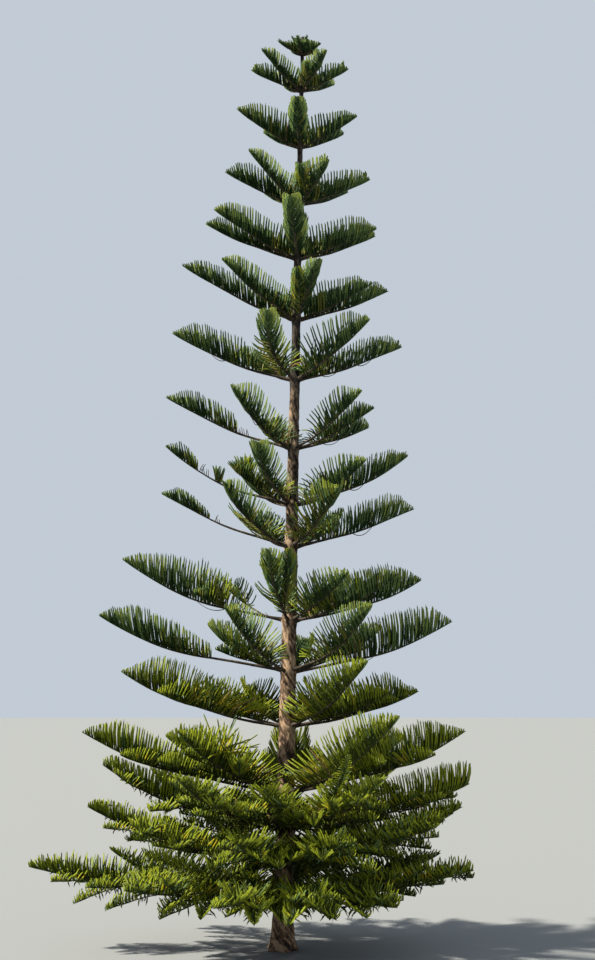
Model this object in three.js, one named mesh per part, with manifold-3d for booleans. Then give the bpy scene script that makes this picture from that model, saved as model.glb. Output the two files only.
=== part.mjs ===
import * as THREE from "three";
import { mergeVertices } from "three/addons/utils/BufferGeometryUtils.js";
import Module from "manifold-3d";

// A tall young whorled conifer, in millimetres, +Z up. The origin is where the trunk's axis leaves
// the ground. Azimuths are in degrees round the trunk: 0 is the front (-Y) and 90 the right (+X).

// Trunk
const HEIGHT = 16000;
const FOOT_RADIUS = 170;
const TAPER = 0.00907;
const TIP_RADIUS = 9;
const LEAN = 0.0218;
const FLARE_RADIUS = 80;
const FLARE_HEIGHT = 230;
const FLARE_LOBES = 5;
const FLARE_LOBE_DEPTH = 34;
const TRUNK_SIDES = 10;
const FLARE_SECTIONS = [90, 220, 420, 640];
const CLEARANCE = 0.3;

// Limbs
const LIMB_RADIUS = 27;
const LIMB_TIP_RADIUS = 7;
const LIMB_LEAST_GIRTH = 0.45;
const LIMB_GIRTH_REACH = 3600;
const LIMB_SIDES = 6;
const LIMB_STEPS = 4;
const FIRST_SLOPE = 0.68;
const STAGGER = 14;
const OWN_BOUGH = 400;
const RIB_LIFT = 0.9;
const RIB_DROP = 0.5;
const COLLAR_WIDTH = 16;
const COLLAR_BORE = 0.6;
const COLLAR_HALF_HEIGHT = 44;

// Sprays, which stand on each frond's rib in two rows that open upwards as a V
const SPRAY_LONGEST = 650;
const SPRAY_LEAST = 120;
const SPRAY_PER_REACH = 0.3;
const SPRAY_TAPER_SHARE = 0.4;
const SPRAY_TAPER_POWER = 0.7;
const SPRAY_SPREAD = 0.12;
const OPEN_ANGLE = 28;
const INNER_LEAN = 10;
const OUTER_LEAN = 38;
const LEAN_SPREAD = 3;
const OPEN_SPREAD = 4;
const RIB_LEAST_STEPS = 3;
const RIB_WIDTH = 36;
const RIB_TIP_WIDTH = 9;
const RIB_ROOT_WIDTH = 15;
const SECTOR_MARGIN = 4;
const ROOF_GAP = 70;
const ROOF_OVERHANG = 250;
const LOWEST_SPRAY = 40;
const WIDEST_TURN = 80;

// Tiers from the top down. A limb is [azimuth, reach, rise, bare length from the trunk's axis], and
// shoots are side fronds of a limb, each [share of the reach, turn in degrees, length].
const TIERS = [
  {
    height: 15650,
    pitch: 85,
    limbs: [
      [-84, 440, 250, 60],
      [-12, 410, 215, 60],
      [62, 370, 205, 60],
      [134, 420, 240, 60],
      [-154, 420, 240, 60],
    ],
  },
  {
    height: 14950,
    pitch: 128,
    limbs: [
      [-160, 900, 420, 110],
      [-93, 910, 430, 110],
      [-45, 990, 455, 110],
      [30, 860, 410, 110],
      [84, 850, 385, 110],
      [133, 830, 390, 110],
    ],
  },
  {
    height: 13865,
    pitch: 130,
    limbs: [
      [-138, 1010, 520, 120],
      [-76, 1160, 620, 120],
      [-4, 1060, 490, 120],
      [70, 1070, 440, 120],
      [124, 960, 490, 120],
      [178, 1050, 500, 120],
    ],
  },
  {
    height: 12790,
    pitch: 140,
    limbs: [
      [-150, 1260, 560, 130],
      [-90, 1320, 620, 130],
      [-37, 1420, 610, 130],
      [30, 1060, 500, 130],
      [92, 1270, 490, 130],
      [134, 1260, 570, 130],
    ],
  },
  {
    height: 11775,
    pitch: 160,
    limbs: [
      [-98, 1670, 740, 140],
      [-64, 1610, 670, 140],
      [-2, 1480, 620, 140],
      [80, 1410, 480, 140],
      [114, 1550, 650, 140],
      [176, 1500, 620, 140],
    ],
  },
  {
    height: 10655,
    pitch: 162,
    limbs: [
      [-164, 1760, 760, 150],
      [-90, 2020, 1010, 220],
      [-46, 1730, 720, 160],
      [9, 1560, 650, 160],
      [72, 1390, 540, 160],
      [106, 1720, 680, 160],
    ],
  },
  {
    height: 9570,
    pitch: 172,
    limbs: [
      [-148, 1900, 800, 260],
      [-94, 2170, 890, 580],
      [-16, 1800, 800, 200],
      [50, 1720, 790, 240],
      [100, 1930, 690, 200],
      [158, 1820, 760, 240],
    ],
  },
  {
    height: 8340,
    pitch: 140,
    limbs: [
      [-160, 1900, 800, 500],
      [-95, 2250, 955, 1000],
      [-38, 1720, 800, 220],
      [43, 1660, 745, 300],
      [76, 1430, 675, 320],
      [128, 1760, 610, 450],
    ],
  },
  {
    height: 7360,
    pitch: 140,
    limbs: [
      [-150, 1850, 780, 360],
      [-93, 2210, 1045, 1660],
      [-55, 1330, 665, 430],
      [-19, 1790, 820, 220],
      [50, 1600, 620, 260],
      [84, 2000, 815, 280],
      [148, 1850, 780, 450],
    ],
  },
  {
    height: 6640,
    pitch: 140,
    limbs: [
      [-155, 1950, 800, 360],
      [-96, 2270, 945, 1420],
      [-34, 1930, 870, 430],
      [27, 1780, 780, 300],
      [92, 2120, 680, 420],
      [152, 1950, 760, 360],
    ],
  },
  {
    height: 5365,
    pitch: 145,
    shoots: { 1: [[0.42, 42, 900]], 6: [[0.4, 30, 600]], 0: [[0.5, 32, 620]] },
    limbs: [
      [-148, 2350, 880, 380],
      [-92, 2870, 1055, 520],
      [-12, 1640, 880, 240],
      [38, 1560, 690, 280],
      [67, 1960, 740, 360],
      [97, 2290, 715, 620],
      [152, 2250, 840, 380],
    ],
  },
  {
    height: 4520,
    pitch: 145,
    shoots: { 1: [[0.5, -34, 700]], 5: [[0.45, -34, 640]] },
    limbs: [
      [-138, 2200, 900, 380],
      [-92, 3240, 940, 1300],
      [-30, 1980, 960, 260],
      [38, 2160, 965, 420],
      [88, 2770, 850, 720],
      [125, 2030, 790, 380],
      [168, 1660, 620, 340],
    ],
  },
  {
    height: 3600,
    pitch: 350,
    sideShoots: 2,
    limbs: [
      [-155, 1900, 700, 420],
      [-122, 2000, 660, 420],
      [-84, 2780, 910, 800],
      [36, 2160, 1020, 420],
      [78, 1760, 570, 420],
      [106, 2360, 600, 420],
      [157, 2100, 700, 420],
    ],
  },
  {
    height: 2515,
    pitch: 380,
    sideShoots: 2,
    limbs: [
      [-130, 2850, 900, 500],
      [-82, 3370, 1000, 600],
      [-46, 2330, 1030, 500],
      [40, 2740, 1260, 500],
      [82, 3000, 1020, 500],
      [130, 2800, 900, 500],
      [178, 2700, 900, 500],
    ],
  },
  {
    height: 1915,
    pitch: 430,
    sideShoots: 2,
    limbs: [
      [-126, 2950, 880, 500],
      [-79, 3020, 1080, 500],
      [-37, 2650, 900, 500],
      [-3, 2000, 640, 400],
      [36, 2550, 900, 500],
      [86, 3060, 1150, 500],
      [138, 2900, 880, 500],
      [-176, 2850, 880, 500],
    ],
  },
  {
    height: 1400,
    pitch: 480,
    sideShoots: 2,
    limbs: [
      [-146, 3050, 760, 500],
      [-93, 3300, 880, 500],
      [-56, 2850, 720, 500],
      [-17, 2350, 480, 500],
      [22, 2350, 480, 500],
      [62, 2850, 760, 500],
      [103, 3120, 840, 500],
      [152, 3000, 760, 500],
    ],
  },
  {
    height: 840,
    pitch: 470,
    sideShoots: 2,
    limbs: [
      [-132, 3400, 420, 500],
      [-88, 4180, 500, 500],
      [-52, 3050, 330, 500],
      [-18, 2450, 170, 500],
      [14, 2300, 120, 500],
      [46, 2450, 60, 500],
      [82, 3120, 470, 500],
      [126, 3250, 420, 500],
      [174, 3200, 420, 500],
    ],
  },
];
const FIRST_OWN_TIER = 8;
const LAST_OWN_TIER = 12;
const SHOOT_FIRST = 0.36;
const SHOOT_STEP = 0.17;
const SHOOT_TURN = 34;
const SHOOT_LEAST = 420;
const SHOOT_PER_REACH = 0.36;
const SHOOT_SLOPE = 0.3;
const SHOOT_CLIMB = 0.8;
const SHOOT_BARE = 0.26;
const SHOOT_GIRTH = 0.75;
const SHOOT_SEED = 40;
const SHOOT_SPRAY = 0.75;
const LOWER_SPRAY = 540;

// Colours
const BARK = { color: 0x6b5d4e, roughness: 0.95 };
const LIMB_BARK = { color: 0x54493d, roughness: 0.95 };
const FOLIAGE = { color: 0x4c6a2c, roughness: 0.75 };
const LOW_FOLIAGE = { color: 0x59702a, roughness: 0.75 };

const wasm = await Module();
wasm.setup();
const up = new THREE.Vector3(0, 0, 1);
const radians = THREE.MathUtils.degToRad;
const mix = THREE.MathUtils.lerp;

// Repeatable random numbers from 0 to 1
function seeded(seed) {
  let state = seed >>> 0;
  return () => {
    state = (state + 0x6d2b79f5) >>> 0;
    let t = Math.imul(state ^ (state >>> 15), 1 | state);
    t = (t + Math.imul(t ^ (t >>> 7), 61 | t)) ^ t;
    return ((t ^ (t >>> 14)) >>> 0) / 4294967296;
  };
}

// Solids and geometries
function solidOf(geometry) {
  const bare = geometry.clone();
  bare.deleteAttribute("normal");
  bare.deleteAttribute("uv");
  const merged = mergeVertices(bare, 0.01);
  return new wasm.Manifold(
    new wasm.Mesh({
      numProp: 3,
      vertProperties: merged.attributes.position.array,
      triVerts: new Uint32Array(merged.index.array),
    }),
  );
}

function closedGeometry(points, triangles) {
  const geometry = new THREE.BufferGeometry().setFromPoints(points);
  geometry.setIndex(triangles);
  return geometry;
}

// The largest body of a solid, without loose scraps and with sealed hollows filled
function mainBody(solid) {
  const bodies = solid.decompose();
  return bodies.reduce((best, body) => (body.volume() > best.volume() ? body : best));
}

function meshOf(name, solid, finish) {
  const { vertProperties, triVerts } = solid.getMesh();
  const geometry = new THREE.BufferGeometry();
  geometry.setAttribute("position", new THREE.BufferAttribute(vertProperties, 3));
  geometry.setIndex(new THREE.BufferAttribute(triVerts, 1));
  geometry.computeVertexNormals();
  const mesh = new THREE.Mesh(geometry, new THREE.MeshStandardMaterial({ metalness: 0, ...finish }));
  mesh.name = name;
  return mesh;
}

// Trunk
const axisAt = (z) => new THREE.Vector3(LEAN * z, 0, z);

function trunkRadius(z, angle) {
  const fade = Math.exp(-z / FLARE_HEIGHT);
  const lobes = FLARE_LOBE_DEPTH * Math.cos(FLARE_LOBES * angle);
  return Math.max(FOOT_RADIUS - TAPER * z, TIP_RADIUS) + fade * (FLARE_RADIUS + lobes);
}

// The trunk, or a copy grown all round by the clearance that other solids keep from it
function trunkSolid(growth) {
  const foot = growth > 0 ? -1 : 0;
  const heights = [foot, ...FLARE_SECTIONS, ...TIERS.map((tier) => tier.height).reverse(), HEIGHT];
  const profile = heights.map((z) => new THREE.Vector2(1, z));
  profile.unshift(new THREE.Vector2(0, heights[0]));
  profile.push(new THREE.Vector2(0, HEIGHT));
  const geometry = new THREE.LatheGeometry(profile, TRUNK_SIDES).rotateX(Math.PI / 2);
  const place = geometry.attributes.position;
  for (let i = 0; i < place.count; i++) {
    const z = place.getZ(i);
    const unit = Math.hypot(place.getX(i), place.getY(i));
    const angle = Math.atan2(place.getY(i), place.getX(i));
    const full = z >= HEIGHT ? TIP_RADIUS : trunkRadius(Math.max(z, 0), angle);
    const radius = unit * (full + growth);
    place.setXY(i, LEAN * z + radius * Math.cos(angle), radius * Math.sin(angle));
  }
  return solidOf(geometry);
}

const ownTier = (tier) => tier + 1 >= FIRST_OWN_TIER && tier + 1 <= LAST_OWN_TIER;

// Limbs: each leaves the trunk's axis at its tier's height and climbs more steeply towards its tip
function makeLimb(tier, index) {
  const [azimuth, reach, rise, bare] = TIERS[tier].limbs[index];
  const stagger = ownTier(tier) ? STAGGER * (index % 2 ? 1 : -1) : 0;
  const root = axisAt(TIERS[tier].height + stagger);
  return { tier, index, azimuth, reach, rise, bare, root, seed: 100 * (tier + 1) + index };
}

const outwardOf = (azimuth) =>
  new THREE.Vector3(Math.sin(radians(azimuth)), -Math.cos(radians(azimuth)), 0);

function climbOf(limb, distance) {
  const share = distance / limb.reach;
  return limb.rise * (FIRST_SLOPE * share + (1 - FIRST_SLOPE) * share * share);
}

function pointOn(limb, distance) {
  const out = outwardOf(limb.azimuth).multiplyScalar(distance);
  return limb.root.clone().add(out).addScaledVector(up, climbOf(limb, distance));
}

function frameOn(limb, distance) {
  const step = 1;
  const along = pointOn(limb, distance + step).sub(pointOn(limb, distance - step)).normalize();
  const side = up.clone().cross(outwardOf(limb.azimuth));
  return { along, side, above: along.clone().cross(side) };
}

function limbRadius(limb, distance) {
  const root = LIMB_RADIUS * Math.min(1, LIMB_LEAST_GIRTH + limb.reach / LIMB_GIRTH_REACH);
  return mix(root, LIMB_TIP_RADIUS, distance / limb.reach);
}

// A bough is a round bar bent along its limb, from inside the trunk to where the sprays start
function boughSolid(limb) {
  const bar = new THREE.CylinderGeometry(1, 1, 1, LIMB_SIDES, LIMB_STEPS).rotateX(Math.PI / 2);
  const place = bar.attributes.position;
  for (let i = 0; i < place.count; i++) {
    const distance = (place.getZ(i) + 0.5) * limb.bare;
    const { side, above } = frameOn(limb, distance);
    const radius = limbRadius(limb, distance);
    const point = pointOn(limb, distance)
      .addScaledVector(side, radius * place.getX(i))
      .addScaledVector(above, radius * place.getY(i));
    place.setXYZ(i, point.x, point.y, point.z);
  }
  return solidOf(bar);
}

// The lowest limb of a tier at a distance from the axis, which is the roof of the tier below it
function roofAbove(tier, distance) {
  if (tier === 0) return HEIGHT;
  const limbs = TIERS[tier - 1].limbs.map((_, index) => makeLimb(tier - 1, index));
  const near = limbs.filter((limb) => limb.reach + ROOF_OVERHANG > distance);
  const heights = near.map((limb) => limb.root.z + climbOf(limb, Math.min(distance, limb.reach)));
  return Math.min(...heights, HEIGHT) - ROOF_GAP;
}

// The half-angle, on each side of a limb, that its own frond may fill
function sectorOf(limb) {
  const turns = TIERS[limb.tier].limbs
    .filter((_, index) => index !== limb.index)
    .map(([azimuth]) => ((azimuth - limb.azimuth + 540) % 360) - 180);
  const right = Math.min(WIDEST_TURN, ...turns.filter((turn) => turn > 0));
  const left = Math.min(WIDEST_TURN, ...turns.filter((turn) => turn < 0).map((turn) => -turn));
  return { right: radians(right / 2), left: radians(left / 2) };
}

// Pulls a spray's tip back into its frond's sector and under the tier above
function keepInside(tip, limb, sector, foot) {
  const out = outwardOf(limb.azimuth);
  const side = up.clone().cross(out);
  const offset = tip.clone().sub(limb.root);
  const distance = offset.dot(out);
  const across = offset.dot(side);
  const bound = across > 0 ? sector.right : sector.left;
  const most = Math.max(0, distance * Math.tan(bound) - SECTOR_MARGIN);
  if (Math.abs(across) > most) tip.addScaledVector(side, Math.sign(across) * most - across);
  const roof = roofAbove(limb.tier, Math.hypot(offset.x, offset.y));
  const least = Math.min(foot.z + LOWEST_SPRAY, tip.z);
  tip.z = Math.max(Math.min(tip.z, roof), least);
  return tip;
}

// Where a rib has its sections: one at its start, then evenly from the end of its bare stretch
function ribStations(limb, start, pitch) {
  const leafy = Math.max(start, limb.bare);
  const count = Math.max(RIB_LEAST_STEPS, Math.round((limb.reach - leafy) / pitch));
  const even = Array.from({ length: count }, (_, i) => mix(leafy, limb.reach, i / count));
  return start < limb.bare ? [start, ...even] : even;
}

// The top, left and right corners of a rib's three-cornered section
function ribCorners(limb, distance) {
  const { side, above } = frameOn(limb, distance);
  const full = distance === 0 ? RIB_ROOT_WIDTH : mix(RIB_WIDTH, RIB_TIP_WIDTH, distance / limb.reach);
  const width = full * limb.girth;
  const centre = pointOn(limb, distance);
  const low = centre.clone().addScaledVector(above, -width * RIB_DROP);
  return [
    centre.clone().addScaledVector(above, width * RIB_LIFT),
    low.clone().addScaledVector(side, -width),
    low.clone().addScaledVector(side, width),
  ];
}

// The tip of a spray: it leans forward along its limb and outward to its own hand
function sprayTip(limb, distance, hand, foot, longest, random) {
  const share = distance / limb.reach;
  const fade = Math.min(1, (1 - share) / SPRAY_TAPER_SHARE) ** SPRAY_TAPER_POWER;
  const vary = (spread) => spread * (2 * random() - 1);
  const length = longest * fade * (1 + vary(SPRAY_SPREAD));
  const lean = radians(mix(INNER_LEAN, OUTER_LEAN, share) + vary(LEAN_SPREAD));
  const open = radians(OPEN_ANGLE + vary(OPEN_SPREAD));
  const upright = length * Math.cos(lean);
  return foot
    .clone()
    .addScaledVector(outwardOf(limb.azimuth), length * Math.sin(lean))
    .addScaledVector(up, upright * Math.cos(open))
    .addScaledVector(frameOn(limb, distance).side, hand * upright * Math.sin(open));
}

// A rib that carries a row of pointed sprays on each of its two upper faces. A spray is left out
// on its bare stretch and where a side frond leaves it.
function toothedRib(limb, start, pitch, longest, keep, shoots = []) {
  const random = seeded(limb.seed);
  const stations = ribStations(limb, start, pitch);
  const points = stations.flatMap((distance) => ribCorners(limb, distance));
  const tip = points.push(pointOn(limb, limb.reach)) - 1;
  const triangles = [0, 2, 1];
  const face = (a, b, c, d) => triangles.push(a, b, c, a, c, d);
  const spray = (ring, distance, hand) => {
    const foot = ring.reduce((sum, i) => sum.add(points[i]), new THREE.Vector3()).divideScalar(4);
    const apex = keep(sprayTip(limb, distance, hand, foot, longest, random), foot);
    const last = points.push(apex) - 1;
    ring.forEach((corner, i) => triangles.push(corner, ring[(i + 1) % 4], last));
  };
  for (let i = 0; i + 1 < stations.length; i++) {
    const [near, far] = [stations[i], stations[i + 1]];
    const [top, left, right] = [3 * i, 3 * i + 1, 3 * i + 2];
    const [nextTop, nextLeft, nextRight] = [top + 3, left + 3, right + 3];
    face(left, right, nextRight, nextLeft);
    for (const hand of [1, -1]) {
      const ring = hand > 0 ? [top, nextTop, nextRight, right] : [top, left, nextLeft, nextTop];
      const taken = shoots.some((shoot) => shoot.hand === hand && near < shoot.from && shoot.from <= far);
      if (taken || far <= limb.bare) face(...ring);
      else spray(ring, (near + far) / 2, hand);
    }
  }
  const last = 3 * (stations.length - 1);
  triangles.push(last + 1, last + 2, tip, last, tip, last + 2, last, last + 1, tip);
  return solidOf(closedGeometry(points, triangles));
}

// A side frond that leaves its limb at a share of the reach and turns away from it
function makeShoot(limb, [share, turn, length], number) {
  const distance = share * limb.reach;
  const root = pointOn(limb, distance);
  const { along } = frameOn(limb, distance);
  const slope = Math.max(SHOOT_SLOPE, SHOOT_CLIMB * along.z);
  return {
    azimuth: limb.azimuth + turn,
    reach: length,
    rise: slope * length,
    bare: SHOOT_BARE * length,
    root,
    from: distance,
    hand: Math.sign(turn),
    girth: SHOOT_GIRTH,
    seed: limb.seed + SHOOT_SEED + number,
  };
}

function shootsOf(limb) {
  const tier = TIERS[limb.tier];
  const listed = (tier.shoots && tier.shoots[limb.index]) || [];
  const paired = Array.from({ length: tier.sideShoots || 0 }, (_, i) => {
    const share = SHOOT_FIRST + SHOOT_STEP * i;
    const hand = (limb.index + i) % 2 ? 1 : -1;
    const length = SHOOT_LEAST + SHOOT_PER_REACH * limb.reach * (1 - share);
    return [share, hand * SHOOT_TURN, length];
  });
  return [...listed, ...paired].map((shoot, number) => makeShoot(limb, shoot, number));
}

// One frond: its rib, its side fronds and all their sprays
function frondSolid(limb, start) {
  const tier = TIERS[limb.tier];
  const longest = Math.min(
    tier.sideShoots ? LOWER_SPRAY : SPRAY_LONGEST,
    SPRAY_LEAST + SPRAY_PER_REACH * limb.reach,
  );
  const sector = sectorOf(limb);
  const keep = (apex, foot) => keepInside(apex, limb, sector, foot);
  const shoots = shootsOf(limb);
  const main = toothedRib({ ...limb, girth: 1 }, start, tier.pitch, longest, keep, shoots);
  const sides = shoots.map((shoot) => {
    return toothedRib(shoot, 0, tier.pitch, longest * SHOOT_SPRAY, keep);
  });
  return sides.reduce((solid, side) => solid.add(side), main);
}

// The thickened ring of a tier, at the mean height of its limbs where they leave the trunk
function collarSolid(height, limbs) {
  const inner = (FOOT_RADIUS - TAPER * height) * COLLAR_BORE;
  const outer = trunkRadius(height, 0) + COLLAR_WIDTH;
  const lift = limbs.reduce((sum, limb) => sum + climbOf(limb, outer), 0) / limbs.length;
  const profile = [
    new THREE.Vector2(inner, -COLLAR_HALF_HEIGHT),
    new THREE.Vector2(outer, -COLLAR_HALF_HEIGHT / 2),
    new THREE.Vector2(outer, COLLAR_HALF_HEIGHT / 2),
    new THREE.Vector2(inner, COLLAR_HALF_HEIGHT),
    new THREE.Vector2(inner, -COLLAR_HALF_HEIGHT),
  ];
  const ring = new THREE.LatheGeometry(profile, TRUNK_SIDES).rotateX(Math.PI / 2);
  const centre = axisAt(height + lift);
  return solidOf(ring.translate(centre.x, centre.y, centre.z));
}

const grownTrunk = trunkSolid(CLEARANCE);
const twoDigits = (number) => String(number).padStart(2, "0");

// All fronds of a tier in one body, joined by the thickened ring that they grow from
function tierMass(tier) {
  const limbs = TIERS[tier].limbs.map((_, index) => makeLimb(tier, index));
  const fronds = limbs.map((limb) => frondSolid(limb, 0));
  const joined = fronds.reduce((solid, frond) => solid.add(frond), collarSolid(TIERS[tier].height, limbs));
  return mainBody(joined.subtract(grownTrunk));
}

// Each frond of a tier as a body of its own, after a bough where its limb is bare for a long way
function ownFronds(tier) {
  return TIERS[tier].limbs.flatMap((_, index) => {
    const limb = makeLimb(tier, index);
    const label = `${twoDigits(tier + 1)}_${index + 1}`;
    if (limb.bare < OWN_BOUGH) {
      const frond = mainBody(frondSolid(limb, 0).subtract(grownTrunk));
      return [meshOf(`frond_${label}`, frond, FOLIAGE)];
    }
    const bough = mainBody(boughSolid(limb).subtract(grownTrunk));
    const frond = mainBody(frondSolid(limb, limb.bare + CLEARANCE));
    return [meshOf(`bough_${label}`, bough, LIMB_BARK), meshOf(`frond_${label}`, frond, FOLIAGE)];
  });
}

const tree = new THREE.Group();
tree.add(meshOf("trunk", trunkSolid(0), BARK));
TIERS.forEach((_, tier) => {
  const number = tier + 1;
  if (ownTier(tier)) {
    tree.add(...ownFronds(tier));
    return;
  }
  const name = number === 1 ? "crown_tip" : `tier_${twoDigits(number)}_fronds`;
  tree.add(meshOf(name, tierMass(tier), number > LAST_OWN_TIER ? LOW_FOLIAGE : FOLIAGE));
});

export default tree;
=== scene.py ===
"""Looks of a tall young whorled conifer, 16 m high and rooted in the ground.

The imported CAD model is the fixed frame. Its trunk, limbs and masses are replaced here by a trunk
and limbs with bark relief, and by fronds of needled branchlets that grow by the same rule as the
masses do. Sizes are in metres and azimuths in degrees round the trunk: 0 is the front (-Y) and
90 the right (+X).
"""

import sys
import logging
import math
from dataclasses import dataclass, replace
from enum import IntEnum

import bpy
import numpy as np
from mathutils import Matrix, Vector


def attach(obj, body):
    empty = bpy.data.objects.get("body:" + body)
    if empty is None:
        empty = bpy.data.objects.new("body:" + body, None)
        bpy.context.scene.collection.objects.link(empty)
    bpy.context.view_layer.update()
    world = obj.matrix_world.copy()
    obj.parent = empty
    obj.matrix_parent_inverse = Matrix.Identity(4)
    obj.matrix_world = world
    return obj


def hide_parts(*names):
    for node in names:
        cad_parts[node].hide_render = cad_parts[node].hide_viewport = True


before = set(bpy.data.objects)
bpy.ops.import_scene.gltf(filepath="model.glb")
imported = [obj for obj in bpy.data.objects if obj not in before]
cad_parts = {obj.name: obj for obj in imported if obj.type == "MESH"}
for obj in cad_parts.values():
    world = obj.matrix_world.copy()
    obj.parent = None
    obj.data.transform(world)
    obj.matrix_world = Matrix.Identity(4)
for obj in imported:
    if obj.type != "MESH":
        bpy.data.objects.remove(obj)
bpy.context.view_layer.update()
LOG = logging.getLogger("conifer")

HEIGHT = 16.0
UP = np.array([0.0, 0.0, 1.0])
GOLDEN_ANGLE = math.radians(137.508)
Array = np.ndarray
Random = np.random.Generator
Triple = tuple[float, float, float]
Stops = tuple[tuple[float, Triple], ...]
Piece = bpy.types.Object
Material = bpy.types.Material

# Tiers from the top down: (height, usual bare length, limbs). A limb is (azimuth, reach, rise) and, where
# it isn't the usual one, its bare length from the trunk's axis.
TIER_TABLE = {
    1: (15.65, 0.06, [
        (-84, 0.44, 0.25), (-12, 0.41, 0.165), (62, 0.37, 0.13), (134, 0.42, 0.205), (-154, 0.42, 0.24),
    ]),
    2: (14.95, 0.11, [
        (-160, 0.9, 0.47), (-93, 0.91, 0.43), (-45, 0.99, 0.455), (30, 0.86, 0.41), (84, 0.85, 0.385),
        (133, 0.83, 0.39),
    ]),
    3: (13.865, 0.12, [
        (-138, 1.01, 0.61), (-76, 1.16, 0.62), (-4, 1.06, 0.49), (70, 1.07, 0.44), (124, 0.96, 0.49),
        (178, 1.05, 0.5),
    ]),
    4: (12.79, 0.13, [
        (-150, 1.26, 0.62), (-90, 1.32, 0.62), (-37, 1.42, 0.56), (30, 1.0, 0.46), (92, 1.27, 0.49),
        (134, 1.26, 0.57),
    ]),
    5: (11.775, 0.14, [
        (-98, 1.67, 0.74), (-64, 1.61, 0.67), (-5, 1.48, 0.62), (80, 1.41, 0.48), (114, 1.55, 0.65),
        (176, 1.5, 0.62),
    ]),
    6: (10.655, 0.16, [
        (-164, 1.76, 0.76, 0.15), (-90, 2.02, 1.01, 0.22), (-46, 1.73, 0.72), (14, 1.52, 0.64),
        (72, 1.39, 0.54), (106, 1.72, 0.68),
    ]),
    7: (9.57, 0.2, [
        (-148, 1.9, 0.8, 0.26), (-94, 2.17, 0.89, 0.58), (-16, 1.8, 0.8), (50, 1.63, 0.79, 0.24),
        (100, 1.93, 0.69), (158, 1.82, 0.76, 0.24),
    ]),
    8: (8.34, 0.22, [
        (-160, 1.9, 0.8, 0.5), (-95, 2.25, 0.955, 1.0), (-38, 1.72, 0.8), (43, 1.66, 0.745, 0.56),
        (76, 1.43, 0.675, 0.46), (128, 1.73, 0.59, 0.45),
    ]),
    9: (7.36, 0.26, [
        (-150, 1.85, 0.78, 0.36), (-93, 2.21, 1.045, 1.66), (-55, 1.17, 0.52, 0.43), (-19, 1.79, 0.82),
        (50, 1.6, 0.62, 0.54), (84, 2.0, 0.815, 0.46), (148, 1.85, 0.78, 0.45),
    ]),
    10: (6.64, 0.36, [
        (-155, 1.95, 0.8), (-96, 2.27, 0.945, 1.42), (-34, 1.93, 0.87, 0.43), (27, 1.78, 0.78, 0.3),
        (92, 2.12, 0.68, 0.42), (152, 1.95, 0.76),
    ]),
    11: (5.365, 0.24, [
        (-148, 2.35, 0.88, 1.4), (-92, 2.87, 1.055, 0.8), (-12, 1.64, 1.06), (38, 1.56, 0.69, 0.28),
        (67, 1.96, 0.74, 0.36), (97, 2.29, 0.715, 0.62), (152, 2.25, 0.84, 0.38),
    ]),
    12: (4.52, 0.38, [
        (-138, 2.2, 0.9), (-92, 3.24, 0.94, 1.3), (-30, 1.98, 0.96, 0.5), (38, 2.16, 0.965, 0.64),
        (88, 2.77, 0.85, 0.72), (125, 2.03, 0.79), (168, 1.66, 0.62, 0.34),
    ]),
    13: (3.6, 0.42, [
        (-155, 1.9, 0.7), (-122, 2.0, 0.66), (-84, 2.78, 0.91, 0.8), (36, 2.16, 1.02), (78, 1.76, 0.57),
        (106, 2.36, 0.6), (157, 2.1, 0.7),
    ]),
    14: (2.515, 0.5, [
        (-130, 2.85, 0.9), (-82, 3.37, 1.0, 0.6), (-46, 2.33, 1.03), (40, 2.74, 1.26), (82, 3.0, 1.02),
        (130, 2.8, 0.9), (178, 2.7, 0.9),
    ]),
    15: (1.915, 0.32, [
        (-126, 2.95, 0.88), (-79, 3.02, 1.08), (-37, 2.65, 0.9), (-8, 2.0, 0.76, 0.4), (36, 2.55, 0.9),
        (86, 3.06, 0.76), (138, 2.9, 0.88), (-176, 2.85, 0.88),
    ]),
    16: (1.4, 0.32, [
        (-146, 3.05, 0.76), (-93, 3.3, 0.88), (-56, 2.85, 0.72), (-17, 2.35, 0.48), (22, 2.35, 0.48),
        (62, 2.85, 0.76), (103, 3.12, 0.84), (152, 3.0, 0.76),
    ]),
    17: (0.84, 0.32, [
        (-132, 3.4, 0.42), (-88, 4.18, 0.5), (-52, 3.05, 0.33), (-18, 2.45, 0.17), (14, 2.3, 0.12),
        (46, 2.45, 0.06), (82, 3.12, 0.47), (126, 3.25, 0.42), (174, 3.2, 0.42),
    ]),
}
# Side fronds of limbs, by tier: (limb's number, share of the reach, turn in degrees, length, rise).
SHOOT_TABLE = {
    2: [(4, 0.28, -34, 0.42, 0.17)],
    4: [(4, 0.28, -42, 0.62, 0.32)],
    6: [(4, 0.26, -19, 0.82, 0.48)],
    11: [(2, 0.36, 42, 0.75, 0.24), (3, 0.24, 18, 1.02, 0.93), (7, 0.4, 30, 0.6, 0.19)],
    12: [(1, 0.4, 30, 0.75, 0.23), (2, 0.5, -34, 0.7, 0.21), (6, 0.45, -34, 0.64, 0.2)],
    15: [(5, 0.4, -20, 1.42, 1.05)],
    16: [(4, 0.3, -24, 0.9, -0.16), (4, 0.16, -28, 0.85, -0.24), (5, 0.4, 34, 1.3, -0.12)],
    17: [
        (2, 0.6, 30, 1.0, -0.24), (4, 0.2, -6, 1.05, 0.5), (3, 0.45, -14, 0.9, -0.26),
        (3, 0.8, -30, 0.8, -0.22), (3, 0.6, 26, 0.85, -0.16), (4, 0.34, 34, 0.95, -0.2),
        (4, 0.4, -28, 0.8, -0.16), (4, 0.64, 22, 0.8, -0.18), (5, 0.46, -24, 0.8, -0.16),
        (5, 0.62, 24, 0.8, -0.14), (5, 0.74, -40, 0.7, -0.2), (6, 0.56, -22, 0.8, -0.12),
    ],
}
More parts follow.
